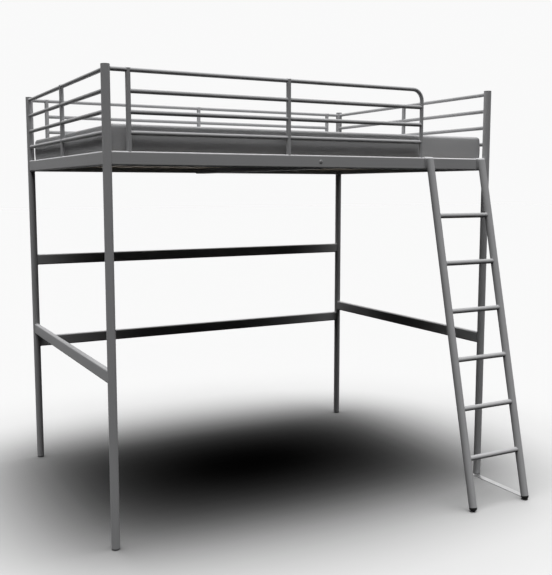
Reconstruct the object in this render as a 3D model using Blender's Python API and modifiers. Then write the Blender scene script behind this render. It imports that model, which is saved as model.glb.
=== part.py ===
"""Metal loft bed for one wide mattress, with guard rails all round and a hook-on ladder.

Metres, +Z up. X runs along the bed's length, the ladder is at the right-hand end of the
front side (-Y), and the origin is on the floor, under the middle of the whole part.
"""

import math

import bmesh
import bpy
from mathutils import Matrix, Vector

# Overall sizes of the bed without its ladder
LENGTH = 2.08
WIDTH = 1.47
HEIGHT = 2.06

# Clearances and the overrun of cutters past what they cut
CLEARANCE = 0.0003
OVERRUN = 0.01
WELD_DISTANCE = 0.00001

# Posts, with a cap in the top of each tube and a glide in its foot
POST_DIAMETER = 0.038
POST_WALL = 0.0015
POST_SIDES = 24
PLUG_LENGTH = 0.018
CAP_THICKNESS = 0.003
CAP_EDGE = 0.001
GLIDE_THICKNESS = 0.007
GLIDE_INSET = 0.001

# Side and end rails, which carry the base; RAIL_DROP is from the posts' tops to their middle
RAIL_DROP = 0.38
RAIL_HEIGHT = 0.06
RAIL_THICKNESS = 0.025
RAIL_CORNER = 0.007
RAIL_WALL = 0.0015
CORNER_SEGMENTS = 3

# Stretchers below the base
STRETCHER_HEIGHT = 0.058
END_STRETCHER_Z = 0.757
REAR_UPPER_STRETCHER_Z = 1.153
REAR_LOWER_STRETCHER_Z = 0.683

# Guard rails: four levels of tube, carried by uprights that the tubes pass through. The top
# one lies below the posts' tops, and the lowest one above the side and end rails
GUARD_DROP = 0.018
GUARD_LOWEST_RISE = 0.0752
GUARD_LEVELS = 4
GUARD_DIAMETER = 0.019
GUARD_WALL = 0.0012
GUARD_SIDES = 16
GUARD_BEVEL_RESOLUTION = 6
UPRIGHT_DIAMETER = 0.022
UPRIGHT_WALL = 0.0015
UPRIGHT_TOP_RISE = 0.008
UPRIGHT_INSET = 0.095
LADDER_OPENING = 0.428
GUARD_BEND_RADIUS = 0.055
GUARD_BEND_STEPS = 8

# Cross beam under the middle of the base, held to each side rail by an end plate
BEAM_WIDTH = 0.06
BEAM_HEIGHT = 0.03
BEAM_PLATE_WIDTH = 0.036
BEAM_PLATE_HEIGHT = 0.052
BEAM_PLATE_THICKNESS = 0.003

# Base: two flat timber panels of slats, left and right of the beam's end plates. They lie
# SLAT_DROP below the middle of the rails
SLAT_DROP = 0.004
SLAT_THICKNESS = 0.012
SLAT_WIDTH = 0.055
SLAT_COUNT = 7
PANEL_END_WIDTH = 0.04
PANEL_SIDE_WIDTH = 0.03
PANEL_CORNER_CUT = 0.01
PANEL_GAP = 0.0015

# Mattress: the cage's loops lie MATTRESS_EDGE in from its outline
MATTRESS_THICKNESS = 0.134
MATTRESS_GAP = 0.0085
MATTRESS_EDGE = 0.07
MATTRESS_SHOULDER = 0.03
MATTRESS_CROWN = 0.005
MATTRESS_DRAW_IN = 0.003
MATTRESS_SUBDIVISIONS = 2

# Ladder: leaning stiles, round rungs, rounded feet and a wide hook plate over the rail
LADDER_INSET = 0.217
LADDER_REACH = 0.405
STILE_SPACING = 0.338
STILE_DIAMETER = 0.038
STILE_WALL = 0.0015
STILE_SIDES = 24
STILE_TOP_SETBACK = 0.018
STILE_TOP_DROP = 0.006
STILE_END_DISC = 0.003
RUNG_DIAMETER = 0.025
RUNG_WALL = 0.0015
RUNG_SIDES = 20
RUNG_COUNT = 6
TOP_RUNG_DROP = 0.291
LOWEST_RUNG_Z = 0.2465
HOOK_WIDTH = 0.054
HOOK_THICKNESS = 0.003
HOOK_FRONT_DROP = 0.055
HOOK_REAR_DROP = 0.0205
FOOT_RADIUS = 0.0195
FOOT_FLAT_DEPTH = 0.0005
FOOT_STEPS = 24
FOOT_ARC_STEPS = 8

# Floor stay: a flat bar from under the front right post to the ladder's right foot
STAY_THICKNESS = 0.003
STAY_WIDTH = 0.034
STAY_INSET = 0.022
STAY_FOOT_HOLE_RADIUS = 0.0125
STAY_FOOT_RIM = 0.004
STAY_END_GAP = 0.03
STAY_ARC_STEPS = 16

# Places worked out from the sizes above
POST_RADIUS = POST_DIAMETER / 2
SPAN_X = LENGTH - POST_DIAMETER
SPAN_Y = WIDTH - POST_DIAMETER
LEFT_X = -SPAN_X / 2
RIGHT_X = SPAN_X / 2
DEPTH = LADDER_REACH + FOOT_RADIUS + SPAN_Y + POST_RADIUS
FRONT_Y = LADDER_REACH + FOOT_RADIUS - DEPTH / 2
REAR_Y = FRONT_Y + SPAN_Y
MIDDLE_Y = (FRONT_Y + REAR_Y) / 2
RAIL_CENTRE_Z = HEIGHT - RAIL_DROP
RAIL_TOP_Z = RAIL_CENTRE_Z + RAIL_HEIGHT / 2
RAIL_INNER = RAIL_THICKNESS / 2 + CLEARANCE
SLAT_BOTTOM_Z = RAIL_CENTRE_Z - SLAT_DROP
SLAT_TOP_Z = SLAT_BOTTOM_Z + SLAT_THICKNESS
GUARD_TOP_Z = HEIGHT - GUARD_DROP
GUARD_PITCH = (GUARD_TOP_Z - RAIL_TOP_Z - GUARD_LOWEST_RISE) / (GUARD_LEVELS - 1)
GUARD_RADIUS = GUARD_DIAMETER / 2
GUARD_LEG_X = RIGHT_X - LADDER_OPENING
FRONT_UPRIGHT_XS = (LEFT_X + UPRIGHT_INSET, (LEFT_X + UPRIGHT_INSET + GUARD_LEG_X) / 2)
REAR_UPRIGHT_XS = (LEFT_X + UPRIGHT_INSET, (LEFT_X + RIGHT_X) / 2, RIGHT_X - UPRIGHT_INSET)
LADDER_X = RIGHT_X - LADDER_INSET
FOOT_CENTRE_Z = FOOT_RADIUS - FOOT_FLAT_DEPTH
LADDER_RISE = RAIL_TOP_Z - FOOT_CENTRE_Z
LADDER_LEAN = math.atan2(LADDER_REACH - STILE_TOP_SETBACK, LADDER_RISE)
STILE_TOP_Z = RAIL_TOP_Z - STILE_TOP_DROP
TOP_RUNG_Z = RAIL_TOP_Z - TOP_RUNG_DROP
RUNG_PITCH = (TOP_RUNG_Z - LOWEST_RUNG_Z) / (RUNG_COUNT - 1)


def clear_scene():
    for old in list(bpy.data.objects):
        bpy.data.objects.remove(old)


def make_collection(name):
    collection = bpy.data.collections.new(name)
    bpy.context.scene.collection.children.link(collection)
    return collection


def make_finish(name, colour, roughness, metallic):
    finish = bpy.data.materials.new(name)
    finish.use_nodes = True
    finish.diffuse_color = (*colour, 1)
    shader = finish.node_tree.nodes["Principled BSDF"]
    shader.inputs["Base Color"].default_value = (*colour, 1)
    shader.inputs["Roughness"].default_value = roughness
    shader.inputs["Metallic"].default_value = metallic
    return finish


def guard_z(level):
    """Height of a guard rail's axis; level 0 is the top one."""
    return GUARD_TOP_Z - level * GUARD_PITCH


def add_piece(name, data, finish):
    piece = bpy.data.objects.new(name, data)
    data.materials.append(finish)
    parts.objects.link(piece)
    return piece


def add_cutter(name, mesh):
    cutter = bpy.data.objects.new(name, mesh)
    cutter.hide_render = True
    cutter.display_type = "WIRE"
    cutters.objects.link(cutter)
    return cutter


def mesh_from(bm, name):
    mesh = bpy.data.meshes.new(name)
    bm.to_mesh(mesh)
    bm.free()
    return mesh


def smooth_round(mesh):
    mesh.shade_smooth()
    mesh.set_sharp_from_angle(angle=math.radians(40))


def lay_along(piece, start, end):
    """Turn a piece whose length is its local Z so that it runs from start to end."""
    start = Vector(start)
    end = Vector(end)
    piece.location = (start + end) / 2
    piece.rotation_mode = "QUATERNION"
    piece.rotation_quaternion = (end - start).to_track_quat("Z", "Y")


def cylinder_mesh(name, radius, length, sides, closed):
    bm = bmesh.new()
    bmesh.ops.create_cone(
        bm, cap_ends=closed, segments=sides, radius1=radius, radius2=radius, depth=length
    )
    return mesh_from(bm, name)


def shift_along_z(mesh, distance):
    mesh.transform(Matrix.Translation((0, 0, distance)))


def section_mesh(name, length, thickness, height, corner, closed):
    """Rectangular bar along X with its four long edges rounded, open at its ends or closed."""
    bm = bmesh.new()
    bmesh.ops.create_cube(bm, size=1)
    bmesh.ops.scale(bm, vec=(length, thickness, height), verts=bm.verts)
    long_edges = [e for e in bm.edges if abs(e.verts[0].co.x - e.verts[1].co.x) > length / 2]
    bmesh.ops.bevel(
        bm,
        geom=long_edges,
        offset=corner,
        segments=CORNER_SEGMENTS,
        profile=0.5,
        affect="EDGES",
        clamp_overlap=True,
    )
    if not closed:
        ends = [f for f in bm.faces if abs(f.normal.x) > 0.5]
        bmesh.ops.delete(bm, geom=ends, context="FACES_ONLY")
    return mesh_from(bm, name)


def hollow_out(piece, wall):
    shell = piece.modifiers.new("wall", "SOLIDIFY")
    shell.thickness = wall
    shell.offset = -1
    shell.use_even_offset = True


def cut_with(piece, *tools):
    for tool in tools:
        cut = piece.modifiers.new(f"cut by {tool.name}", "BOOLEAN")
        cut.operation = "DIFFERENCE"
        cut.solver = "EXACT"
        cut.object = tool


def join_with(piece, *tools):
    for tool in tools:
        join = piece.modifiers.new(f"joined to {tool.name}", "BOOLEAN")
        join.operation = "UNION"
        join.solver = "EXACT"
        join.object = tool


def round_tube(name, start, end, diameter, wall, sides, finish):
    length = (Vector(end) - Vector(start)).length
    mesh = cylinder_mesh(name, diameter / 2, length, sides, closed=False)
    smooth_round(mesh)
    tube = add_piece(name, mesh, finish)
    lay_along(tube, start, end)
    hollow_out(tube, wall)
    return tube


def round_cutter(name, start, end, diameter, sides):
    length = (Vector(end) - Vector(start)).length
    cutter = add_cutter(name, cylinder_mesh(name, diameter / 2, length, sides, closed=True))
    lay_along(cutter, start, end)
    return cutter


def section_tube(name, centre, length, height, along_y, finish):
    """Flat-sided tube with rounded edges, as the rails and stretchers are made of."""
    mesh = section_mesh(name, length, RAIL_THICKNESS, height, RAIL_CORNER, closed=False)
    smooth_round(mesh)
    tube = add_piece(name, mesh, finish)
    tube.location = centre
    if along_y:
        tube.rotation_euler.z = math.pi / 2
    hollow_out(tube, RAIL_WALL)
    return tube


def section_cutter(name, centre, length, height, along_y):
    """The same section as a solid bar, larger by the clearance all round."""
    grown = 2 * CLEARANCE
    mesh = section_mesh(
        name, length, RAIL_THICKNESS + grown, height + grown, RAIL_CORNER + CLEARANCE, closed=True
    )
    cutter = add_cutter(name, mesh)
    cutter.location = centre
    if along_y:
        cutter.rotation_euler.z = math.pi / 2
    return cutter


def box_mesh(name, low, high):
    low = Vector(low)
    high = Vector(high)
    bm = bmesh.new()
    bmesh.ops.create_cube(bm, size=1)
    bmesh.ops.scale(bm, vec=high - low, verts=bm.verts)
    bmesh.ops.translate(bm, vec=(low + high) / 2, verts=bm.verts)
    return mesh_from(bm, name)


def turned_piece(name, profile, steps, finish):
    """Solid of revolution about local Z from (radius, height) pairs, listed top to bottom."""
    mesh = bpy.data.meshes.new(name)
    points = [(radius, 0, height) for radius, height in profile]
    mesh.from_pydata(points, [(i, i + 1) for i in range(len(points) - 1)], [])
    piece = add_piece(name, mesh, finish)
    turn = piece.modifiers.new("turned", "SCREW")
    turn.angle = math.tau
    turn.steps = steps
    turn.render_steps = steps
    turn.use_merge_vertices = True
    turn.merge_threshold = WELD_DISTANCE
    turn.use_smooth_shade = False
    return piece


def flat_outline(name, outline, holes, thickness, finish):
    """Plate in its local XY plane, from a closed outline and the outlines of its holes."""
    curve = bpy.data.curves.new(name, "CURVE")
    curve.dimensions = "2D"
    curve.fill_mode = "BOTH"
    curve.extrude = thickness / 2
    for ring in [outline, *holes]:
        spline = curve.splines.new("POLY")
        spline.points.add(len(ring) - 1)
        spline.use_cyclic_u = True
        for point, (x, y) in zip(spline.points, ring):
            point.co = (x, y, 0, 1)
    return add_piece(name, curve, finish)


def arc(centre, radius, start, end, steps):
    """Points on a circle from one angle to another, both ends included."""
    angles = [start + (end - start) * i / steps for i in range(steps + 1)]
    return [(centre[0] + radius * math.cos(a), centre[1] + radius * math.sin(a)) for a in angles]


def circle(centre, radius, steps):
    return arc(centre, radius, 0, math.tau, steps)[:-1]


def rectangle(low_x, low_y, high_x, high_y):
    return [(low_x, low_y), (high_x, low_y), (high_x, high_y), (low_x, high_y)]


def post_places():
    return {
        "front_left": (LEFT_X, FRONT_Y),
        "front_right": (RIGHT_X, FRONT_Y),
        "rear_left": (LEFT_X, REAR_Y),
        "rear_right": (RIGHT_X, REAR_Y),
    }


def glide_profile(bore, floor_z):
    """A post's glide: a disc under the tube and a plug inside it."""
    radius = POST_RADIUS - GLIDE_INSET
    return [
        (0, GLIDE_THICKNESS + PLUG_LENGTH),
        (bore, GLIDE_THICKNESS + PLUG_LENGTH),
        (bore, GLIDE_THICKNESS),
        (radius, GLIDE_THICKNESS),
        (radius, floor_z),
        (0, floor_z),
    ]


def build_posts():
    """Four tubes, each closed by a cap above and standing on a glide.

    The front right glide is thinner, because it stands on the floor stay.
    """
    bore = POST_RADIUS - POST_WALL - CLEARANCE
    tube_low = GLIDE_THICKNESS + CLEARANCE
    tube_high = HEIGHT - CAP_THICKNESS - CLEARANCE
    cap_profile = [
        (0, CAP_THICKNESS),
        (POST_RADIUS - CAP_EDGE, CAP_THICKNESS),
        (POST_RADIUS, CAP_THICKNESS - CAP_EDGE),
        (POST_RADIUS, 0),
        (bore, 0),
        (bore, -PLUG_LENGTH),
        (0, -PLUG_LENGTH),
    ]
    for corner, (x, y) in post_places().items():
        round_tube(
            f"post_{corner}",
            (x, y, tube_low),
            (x, y, tube_high),
            POST_DIAMETER,
            POST_WALL,
            POST_SIDES,
            paint,
        )
        cap = turned_piece(f"post_cap_{corner}", cap_profile, POST_SIDES, plastic)
        cap.location = (x, y, HEIGHT - CAP_THICKNESS)
        on_stay = corner == "front_right"
        floor_z = STAY_THICKNESS + CLEARANCE if on_stay else 0
        glide = turned_piece(f"post_glide_{corner}", glide_profile(bore, floor_z), POST_SIDES, plastic)
        glide.location = (x, y, 0)


def build_post_cutters():
    """Solid bars just larger than the posts: what meets a post is shaped by one."""
    made = {}
    for corner, (x, y) in post_places().items():
        made[corner] = round_cutter(
            f"around_post_{corner}",
            (x, y, -OVERRUN),
            (x, y, HEIGHT + OVERRUN),
            POST_DIAMETER + 2 * CLEARANCE,
            POST_SIDES,
        )
    return made


def build_rails_and_stretchers(post_cutters):
    """Section tubes between the posts; their ends reach into the posts and are cut round them."""
    reach = POST_RADIUS / 2
    length_x = SPAN_X - 2 * reach
    length_y = SPAN_Y - 2 * reach
    front = (post_cutters["front_left"], post_cutters["front_right"])
    rear = (post_cutters["rear_left"], post_cutters["rear_right"])
    left = (post_cutters["front_left"], post_cutters["rear_left"])
    right = (post_cutters["front_right"], post_cutters["rear_right"])
    along = [
        ("side_rail_front", FRONT_Y, RAIL_CENTRE_Z, RAIL_HEIGHT, front),
        ("side_rail_rear", REAR_Y, RAIL_CENTRE_Z, RAIL_HEIGHT, rear),
        ("stretcher_rear_upper", REAR_Y, REAR_UPPER_STRETCHER_Z, STRETCHER_HEIGHT, rear),
        ("stretcher_rear_lower", REAR_Y, REAR_LOWER_STRETCHER_Z, STRETCHER_HEIGHT, rear),
    ]
    for name, y, z, height, tools in along:
        tube = section_tube(name, (0, y, z), length_x, height, False, paint)
        cut_with(tube, *tools)
    across = [
        ("end_rail_left", LEFT_X, RAIL_CENTRE_Z, RAIL_HEIGHT, left),
        ("end_rail_right", RIGHT_X, RAIL_CENTRE_Z, RAIL_HEIGHT, right),
        ("stretcher_left_end", LEFT_X, END_STRETCHER_Z, STRETCHER_HEIGHT, left),
        ("stretcher_right_end", RIGHT_X, END_STRETCHER_Z, STRETCHER_HEIGHT, right),
    ]
    for name, x, z, height, tools in across:
        tube = section_tube(name, (x, MIDDLE_Y, z), length_y, height, True, paint)
        cut_with(tube, *tools)


def build_rail_cutters():
    """Solid bars just larger than the four rails: uprights stand on the rails they shape."""
    made = {}
    for side, y in (("front", FRONT_Y), ("rear", REAR_Y)):
        centre = (0, y, RAIL_CENTRE_Z)
        made[side] = section_cutter(f"around_rail_{side}", centre, SPAN_X, RAIL_HEIGHT, False)
    for side, x in (("left", LEFT_X), ("right", RIGHT_X)):
        centre = (x, MIDDLE_Y, RAIL_CENTRE_Z)
        made[side] = section_cutter(f"around_rail_{side}", centre, SPAN_Y, RAIL_HEIGHT, True)
    return made


def guard_rail(name, start, end, tools):
    rail = round_tube(name, start, end, GUARD_DIAMETER, GUARD_WALL, GUARD_SIDES, paint)
    cut_with(rail, *tools)
    return rail


def guard_cutters(side, start, end):
    """One solid bar round each guard rail of a side, to bore its uprights."""
    made = []
    for level in range(GUARD_LEVELS):
        z = guard_z(level)
        made.append(
            round_cutter(
                f"around_guard_{side}_{level + 1}",
                (*start, z),
                (*end, z),
                GUARD_DIAMETER + 2 * CLEARANCE,
                GUARD_SIDES,
            )
        )
    return made


def upright_cutter(name, x, y, diameter):
    return round_cutter(
        name,
        (x, y, RAIL_CENTRE_Z),
        (x, y, GUARD_TOP_Z + OVERRUN),
        diameter + 2 * CLEARANCE,
        GUARD_SIDES,
    )


def guard_upright(name, x, y, tools):
    """Stands on its rail and ends a little below the top of the top guard rail."""
    upright = round_tube(
        name,
        (x, y, RAIL_CENTRE_Z),
        (x, y, GUARD_TOP_Z + UPRIGHT_TOP_RISE),
        UPRIGHT_DIAMETER,
        UPRIGHT_WALL,
        GUARD_SIDES,
        paint,
    )
    cut_with(upright, *tools)
    return upright


def bent_guard_rail(name, tools):
    """Top guard rail of the front, bent down at its right end into a leg on the side rail."""
    bend_x = GUARD_LEG_X - GUARD_BEND_RADIUS
    bend_z = GUARD_TOP_Z - GUARD_BEND_RADIUS
    path = [(LEFT_X + POST_RADIUS / 2, GUARD_TOP_Z)]
    path += arc((bend_x, bend_z), GUARD_BEND_RADIUS, math.pi / 2, 0, GUARD_BEND_STEPS)
    path += [(GUARD_LEG_X, RAIL_CENTRE_Z)]
    curve = bpy.data.curves.new(name, "CURVE")
    curve.dimensions = "3D"
    curve.bevel_depth = GUARD_RADIUS
    curve.bevel_resolution = GUARD_BEVEL_RESOLUTION
    spline = curve.splines.new("POLY")
    spline.points.add(len(path) - 1)
    for point, (x, z) in zip(spline.points, path):
        point.co = (x, FRONT_Y, z, 1)
    guide = bpy.data.objects.new(f"{name}_path", curve)
    parts.objects.link(guide)
    bpy.context.view_layer.update()
    mesh = bpy.data.meshes.new_from_object(guide.evaluated_get(bpy.context.evaluated_depsgraph_get()))
    place = guide.matrix_world.copy()
    bpy.data.objects.remove(guide)
    bm = bmesh.new()
    bm.from_mesh(mesh)
    bmesh.ops.remove_doubles(bm, verts=bm.verts, dist=WELD_DISTANCE)
    bm.to_mesh(mesh)
    bm.free()
    smooth_round(mesh)
    mesh.materials.clear()
    rail = add_piece(name, mesh, paint)
    rail.matrix_world = place
    hollow_out(rail, GUARD_WALL)
    cut_with(rail, *tools)
    return rail


def build_front_guard(post_cutters, rail_cutters):
    """The front guard stops short of the right post, which leaves the way in from the ladder."""
    left_x, middle_x = FRONT_UPRIGHT_XS
    cutters_x = guard_cutters("front", (LEFT_X, FRONT_Y), (GUARD_LEG_X, FRONT_Y))
    left_tool = upright_cutter("around_front_upright_left", left_x, FRONT_Y, UPRIGHT_DIAMETER)
    leg_tool = upright_cutter("around_front_leg", GUARD_LEG_X, FRONT_Y, GUARD_DIAMETER)
    bent_guard_rail("guard_front_rail_1", (post_cutters["front_left"], rail_cutters["front"]))
    guard_upright("guard_front_upright_left", left_x, FRONT_Y, (cutters_x[0], rail_cutters["front"]))
    guard_upright("guard_front_upright_middle", middle_x, FRONT_Y, (*cutters_x, rail_cutters["front"]))
    for level in range(1, GUARD_LEVELS):
        z = guard_z(level)
        guard_rail(
            f"guard_front_rail_{level + 1}",
            (left_x, FRONT_Y, z),
            (GUARD_LEG_X, FRONT_Y, z),
            (left_tool, leg_tool),
        )


def build_rear_guard(post_cutters, rail_cutters):
    left_x, middle_x, right_x = REAR_UPRIGHT_XS
    cutters_x = guard_cutters("rear", (LEFT_X, REAR_Y), (RIGHT_X, REAR_Y))
    left_tool = upright_cutter("around_rear_upright_left", left_x, REAR_Y, UPRIGHT_DIAMETER)
    right_tool = upright_cutter("around_rear_upright_right", right_x, REAR_Y, UPRIGHT_DIAMETER)
    guard_rail(
        "guard_rear_rail_1",
        (LEFT_X, REAR_Y, GUARD_TOP_Z),
        (RIGHT_X, REAR_Y, GUARD_TOP_Z),
        (post_cutters["rear_left"], post_cutters["rear_right"]),
    )
    guard_upright("guard_rear_upright_left", left_x, REAR_Y, (cutters_x[0], rail_cutters["rear"]))
    guard_upright("guard_rear_upright_middle", middle_x, REAR_Y, (*cutters_x, rail_cutters["rear"]))
    guard_upright("guard_rear_upright_right", right_x, REAR_Y, (cutters_x[0], rail_cutters["rear"]))
    for level in range(1, GUARD_LEVELS):
        z = guard_z(level)
        guard_rail(
            f"guard_rear_rail_{level + 1}", (left_x, REAR_Y, z), (right_x, REAR_Y, z), (left_tool, right_tool)
        )


def build_end_guard(side, x, post_cutters, rail_cutters):
    """Four rails from post to post, and one upright in the middle that they pass through."""
    tools = (post_cutters[f"front_{side}"], post_cutters[f"rear_{side}"])
    cutters_y = guard_cutters(side, (x, FRONT_Y), (x, REAR_Y))
    for level in range(GUARD_LEVELS):
        z = guard_z(level)
        guard_rail(f"guard_{side}_rail_{level + 1}", (x, FRONT_Y, z), (x, REAR_Y, z), tools)
    guard_upright(f"guard_{side}_upright", x, MIDDLE_Y, (*cutters_y, rail_cutters[side]))


def build_cross_beam():
    """Flat-lying tube under the base's middle, open beside the plates at its two ends."""
    top_z = SLAT_BOTTOM_Z - CLEARANCE
    bottom_z = top_z - BEAM_HEIGHT
    low_y = FRONT_Y + RAIL_INNER
    high_y = REAR_Y - RAIL_INNER
    inset = BEAM_PLATE_THICKNESS / 2
    name = "cross_beam"
    mesh = section_mesh(name, high_y - low_y - 2 * inset, BEAM_WIDTH, BEAM_HEIGHT, RAIL_CORNER, closed=False)
    smooth_round(mesh)
    beam = add_piece(name, mesh, paint)
    beam.location = (0, MIDDLE_Y, (top_z + bottom_z) / 2)
    beam.rotation_euler.z = math.pi / 2
    hollow_out(beam, RAIL_WALL)
    plates = {
        "front": (low_y, low_y + BEAM_PLATE_THICKNESS),
        "rear": (high_y - BEAM_PLATE_THICKNESS, high_y),
    }
    half = BEAM_PLATE_WIDTH / 2
    plate_low_z = bottom_z + RAIL_WALL / 2
    for side, (near_y, far_y) in plates.items():
        mesh = box_mesh(
            f"beam_plate_{side}",
            (-half, near_y, plate_low_z),
            (half, far_y, plate_low_z + BEAM_PLATE_HEIGHT),
        )
        join_with(beam, add_cutter(f"beam_plate_{side}", mesh))


def build_slat_panel(side, direction):
    """Timber panel between an end rail and the beam's plates; direction is -1 left, 1 right."""
    inner_x = BEAM_PLATE_WIDTH / 2 + PANEL_GAP
    outer_x = RIGHT_X - RAIL_INNER
    half_y = SPAN_Y / 2 - RAIL_INNER
    corner = PANEL_CORNER_CUT
    outline = [
        (inner_x, -half_y),
        (outer_x - corner, -half_y),
        (outer_x, -half_y + corner),
        (outer_x, half_y - corner),
        (outer_x - corner, half_y),
        (inner_x, half_y),
    ]
    gaps = SLAT_COUNT + 1
    free = outer_x - inner_x - 2 * PANEL_END_WIDTH - SLAT_COUNT * SLAT_WIDTH
    gap = free / gaps
    hole_half_y = half_y - PANEL_SIDE_WIDTH
    holes = []
    for i in range(gaps):
        low_x = inner_x + PANEL_END_WIDTH + i * (gap + SLAT_WIDTH)
        holes.append(rectangle(low_x, -hole_half_y, low_x + gap, hole_half_y))
    if direction < 0:
        outline = [(-x, y) for x, y in reversed(outline)]
        holes = [[(-x, y) for x, y in reversed(hole)] for hole in holes]
    panel = flat_outline(f"slat_panel_{side}", outline, holes, SLAT_THICKNESS, timber)
    panel.location = (0, MIDDLE_Y, (SLAT_BOTTOM_Z + SLAT_TOP_Z) / 2)


def build_mattress():
    """Coarse cage with loops near its edges, crowned on top and drawn in round its sides."""
    half_x = SPAN_X / 2 - RAIL_THICKNESS / 2 - MATTRESS_GAP
    half_y = SPAN_Y / 2 - RAIL_THICKNESS / 2 - MATTRESS_GAP
    half_z = MATTRESS_THICKNESS / 2
    bm = bmesh.new()
    bmesh.ops.create_cube(bm, size=1)
    bmesh.ops.scale(bm, vec=(2 * half_x, 2 * half_y, 2 * half_z), verts=bm.verts)
    planes = [
        ((-half_x + MATTRESS_EDGE, 0, 0), (1, 0, 0)),
        ((0, 0, 0), (1, 0, 0)),
        ((half_x - MATTRESS_EDGE, 0, 0), (1, 0, 0)),
        ((0, -half_y + MATTRESS_EDGE, 0), (0, 1, 0)),
        ((0, half_y - MATTRESS_EDGE, 0), (0, 1, 0)),
        ((0, 0, -half_z + MATTRESS_SHOULDER), (0, 0, 1)),
        ((0, 0, half_z - MATTRESS_SHOULDER), (0, 0, 1)),
    ]
    for point, normal in planes:
        everything = [*bm.verts, *bm.edges, *bm.faces]
        bmesh.ops.bisect_plane(bm, geom=everything, plane_co=point, plane_no=normal)
    for vertex in bm.verts:
        x, y, z = vertex.co
        inside_x = abs(x) < half_x - MATTRESS_EDGE / 2
        inside_y = abs(y) < half_y - MATTRESS_EDGE / 2
        if z > half_z - MATTRESS_SHOULDER / 2:
            if inside_x and inside_y:
                vertex.co.z -= MATTRESS_CROWN * (x / half_x) ** 2
            else:
                vertex.co.z -= MATTRESS_CROWN
        if abs(z) > half_z - MATTRESS_SHOULDER / 2:
            if not inside_x:
                vertex.co.x -= math.copysign(MATTRESS_DRAW_IN, x)
            if not inside_y:
                vertex.co.y -= math.copysign(MATTRESS_DRAW_IN, y)
    mesh = mesh_from(bm, "mattress")
    mesh.shade_smooth()
    mattress = add_piece("mattress", mesh, fabric)
    mattress.location = (0, MIDDLE_Y, SLAT_TOP_Z + CLEARANCE + half_z)
    soften = mattress.modifiers.new("soft", "SUBSURF")
    soften.levels = MATTRESS_SUBDIVISIONS
    soften.render_levels = MATTRESS_SUBDIVISIONS


def on_ladder(piece):
    """A ladder piece is placed in the ladder's own frame: its middle, on the post line."""
    piece.parent = ladder
    return piece


def stile_point(x, z):
    """Point on a stile's axis at a height, in the ladder's frame."""
    return (x, -LADDER_REACH + (z - FOOT_CENTRE_Z) * math.tan(LADDER_LEAN), z)


def build_stile(name, x, trim_tools):
    """Leaning tube, closed above by a disc, cut level at its top and upright against the hook."""
    lean = LADDER_LEAN
    top_length = LADDER_RISE / math.cos(lean) + STILE_DIAMETER * math.sin(lean) / 2
    low = CLEARANCE
    mesh = cylinder_mesh(name, STILE_DIAMETER / 2, top_length - low, STILE_SIDES, closed=True)
    shift_along_z(mesh, (top_length + low) / 2)
    smooth_round(mesh)
    stile = on_ladder(add_piece(name, mesh, paint))
    stile.location = stile_point(x, FOOT_CENTRE_Z)
    stile.rotation_euler.x = -lean
    bore_radius = STILE_DIAMETER / 2 - STILE_WALL
    level_rise = (STILE_TOP_Z - FOOT_CENTRE_Z - STILE_END_DISC) / math.cos(lean)
    bore_top = level_rise - bore_radius * math.tan(lean)
    bore_low = -OVERRUN
    bore_mesh = cylinder_mesh(f"{name}_bore", bore_radius, bore_top - bore_low, STILE_SIDES, closed=True)
    shift_along_z(bore_mesh, (bore_top + bore_low) / 2)
    bore = on_ladder(add_cutter(f"{name}_bore", bore_mesh))
    bore.location = stile.location
    bore.rotation_euler.x = -lean
    cut_with(stile, bore, *trim_tools)
    return stile


def build_ladder():
    """Two stiles, six rungs, a hook plate and a rounded foot on each stile."""
    half = STILE_SPACING / 2
    wide = STILE_SPACING
    hook_face = RAIL_THICKNESS / 2 + CLEARANCE + HOOK_THICKNESS + CLEARANCE
    above = add_cutter(
        "above_stiles",
        box_mesh("above_stiles", (-wide, -wide, STILE_TOP_Z), (wide, wide, STILE_TOP_Z + wide)),
    )
    behind = add_cutter(
        "behind_stiles",
        box_mesh("behind_stiles", (-wide, -hook_face, RAIL_CENTRE_Z - wide), (wide, wide, RAIL_TOP_Z + wide)),
    )
    below = add_cutter("below_feet", box_mesh("below_feet", (-wide, -2 * wide, -wide), (wide, wide, 0)))
    for tool in (above, behind, below):
        on_ladder(tool)
    stile_tools = []
    for side, x in (("left", -half), ("right", half)):
        build_stile(f"ladder_stile_{side}", x, (above, behind))
        tool = round_cutter(
            f"around_stile_{side}",
            stile_point(x, 0),
            stile_point(x, RAIL_TOP_Z),
            STILE_DIAMETER + 2 * CLEARANCE,
            STILE_SIDES,
        )
        stile_tools.append(on_ladder(tool))
        build_hook(f"ladder_hook_{side}", x)
        build_foot(f"ladder_foot_{side}", x, below)
    for step in range(RUNG_COUNT):
        z = TOP_RUNG_Z - step * RUNG_PITCH
        rung = round_tube(
            f"ladder_rung_{step + 1}",
            stile_point(-half, z),
            stile_point(half, z),
            RUNG_DIAMETER,
            RUNG_WALL,
            RUNG_SIDES,
            paint,
        )
        on_ladder(rung)
        cut_with(rung, *stile_tools)


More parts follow.
